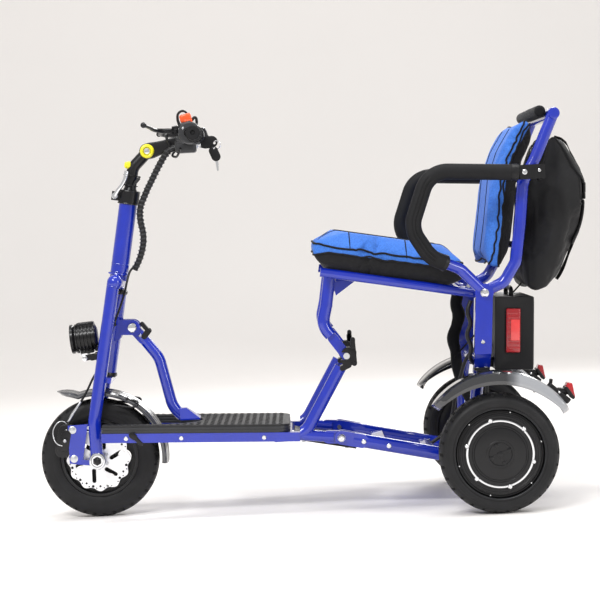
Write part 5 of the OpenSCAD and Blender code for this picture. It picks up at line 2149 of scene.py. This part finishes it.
    def _wires(self) -> None:
        """The motor leads and the wiring in front of the battery."""
        leads = Shape()
        for side in Side:
            s = side.value
            leads.swept([at(392, 92 * s, 318), at(380, 96 * s, 312), at(372, 112 * s, 292),
                at(368, 130 * s, 250), at(366, 146 * s, 206), at(372, 168 * s, 172),
                at(378, 186 * s, 148), at(377, 197 * s, 134)], 4.2, 14)
        leads.swept([at(336, -196, 448), at(328, -200, 424), at(333, -197, 400), at(325, -199, 376),
            at(332, -196, 350), at(330, -188, 326), at(344, -170, 306)], 4.6, 14)
        leads.swept([at(390, -40, 340), at(352, -30, 330), at(318, -10, 260), at(284, 4, 150),
            at(240, 6, 116)], 4.0, 14)
        leads.piece("motor_leads", SHEATH, "rear")
        sleeve = Shape().swept([at(331, 66, 452), at(326, 66, 428), at(331, 67, 404),
            at(325, 67, 380), at(316, 68, 352), at(320, 70, 322), at(322, 71, 290),
            at(330, 72, 250), at(346, 72, 210), at(366, 72, 160)], 11, 20,
            radii=[1.25, 1.2, 1.35, 1.15, 1.3, 1.1, 1.2, 1.0, 0.9, 0.9])
        sleeve.piece("wiring_sleeve", FABRIC, "rear")

    def _bolts(self) -> None:
        """Round screw heads on the frame's bolts and plates."""
        bright = Shape()
        hinge = self.rig.pivot("rear_fold")
        back = self.rig.pivot("backrest_fold")
        for side in Side:
            s = side.value
            out = at(0, s, 0)
            bright.turned(at(hinge.x, 128 * s, hinge.z), out, [(-1, 8.2), (0.6, 8.2), (3.4, 6.2),
                (4, 3), (2.4, 2.6), (2.4, 0)], 36)
            bright.turned(at(back.x, 224 * s, back.z), out, [(-1, 8.8), (0.8, 8.8), (3.8, 6.4),
                (4.4, 3), (2.6, 2.6), (2.6, 0)], 36)
            for x, z in ((96, 150), (150, 138)):
                bright.screw(at(x, 123 * s, z), out, 5, 3)
            bright.screw(at(356, 217.2 * s, 360), out, 4, 2.2)
            bright.screw(at(352, 186 * s, 300), out, 4.4, 3)
        bright.piece("rear_screws", CHROME, "rear")
        caps = Shape()
        for side in Side:
            s = side.value
            caps.turned(at(-401.5, 33 * s, 419), at(0, s, 0), [(-1, 10.6), (0.6, 10.6), (3.6, 8.6),
                (5, 4.4), (5.2, 0)], 40)
            caps.screw(at(-386, 11.2 * s, 399), at(0, s, 0), 3.6, 2)
        caps.piece("fold_bolt_caps", CHROME, "chassis")
        deck = Shape()
        for side in Side:
            s = side.value
            for x, z in ((-420, 183), (-300, 178), (-120, 170)):
                deck.screw(at(x, 119.2 * s, z), at(0, s, 0), 4.6, 2.4)
        deck.piece("rail_screws", CHROME, "chassis")
        catch = Shape()
        catch.plate(capsule((-402, 186), (-388, 170), 9), -121.6, -119)
        catch.plate(capsule((-407, 190), (-402, 186), 13), -123, -119)
        catch.soften(0.8, 60, 2)
        catch.piece("rail_catch", BLACK_METAL, "chassis")

    def _knee_levers(self) -> None:
        """The small levers of the clips under the seat."""
        levers = Shape()
        for side in Side:
            s = side.value
            y = [sided(side, v) for v in (124.8, 129.6, 138)]
            levers.plate(capsule((84, 322), (82, 366), 12), y[0], y[1])
            levers.plate(capsule((82, 358), (83, 374), 10), y[0], y[2])
            levers.turned(at(84, y[1], 322), at(0, s, 0), [(-1, 0), (-1, 5.4), (1, 5.4), (2, 4),
                (2, 0)], 24)
        levers.soften(1.4, 50, 3)
        levers.piece("knee_lever_tabs", PLASTIC, "knee_lock", ("knee_levers",))


def dress_frame(rig: Rig) -> None:
    """Gives the nodes that stay their finishes."""
    rig.dress(BLUE, "deck_rails", "deck_cross_tubes", "down_tube", "seat_legs", "head_tube", "fork",
        "column_tube", "caliper_plate", "rear_frame", "seat_posts", "seat_rails", "backrest_tubes")
    rig.dress(BLACK_METAL, "knee_sockets", "latch_bracket", "column_latch", "column_collar",
        "headlight_bracket", "handlebar", "lever_perches", "front_rim")
    rig.dress(PLASTIC, "armrest_ends", "belly_cover")
    rig.dress(CHROME, "fold_pivot_bolt", "front_axle", "frame_bolts", "headset_bearings")


def main() -> None:
    """Builds the machine, piece by piece."""
    logging.basicConfig(level=logging.INFO, format="%(name)s: %(message)s", stream=sys.stdout)
    rig = Rig()
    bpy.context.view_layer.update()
    Studio().build()
    dress_frame(rig)
    for maker in (Deck, Front, FrontWheel, RearWheels, Post, Handlebar, Cables, Seat, Backrest,
            Armrests, RearBody):
        LOG.info("building %s", maker.__name__)
        maker(rig).build()
    bpy.context.view_layer.update()


if __name__ == "__main__":
    main()
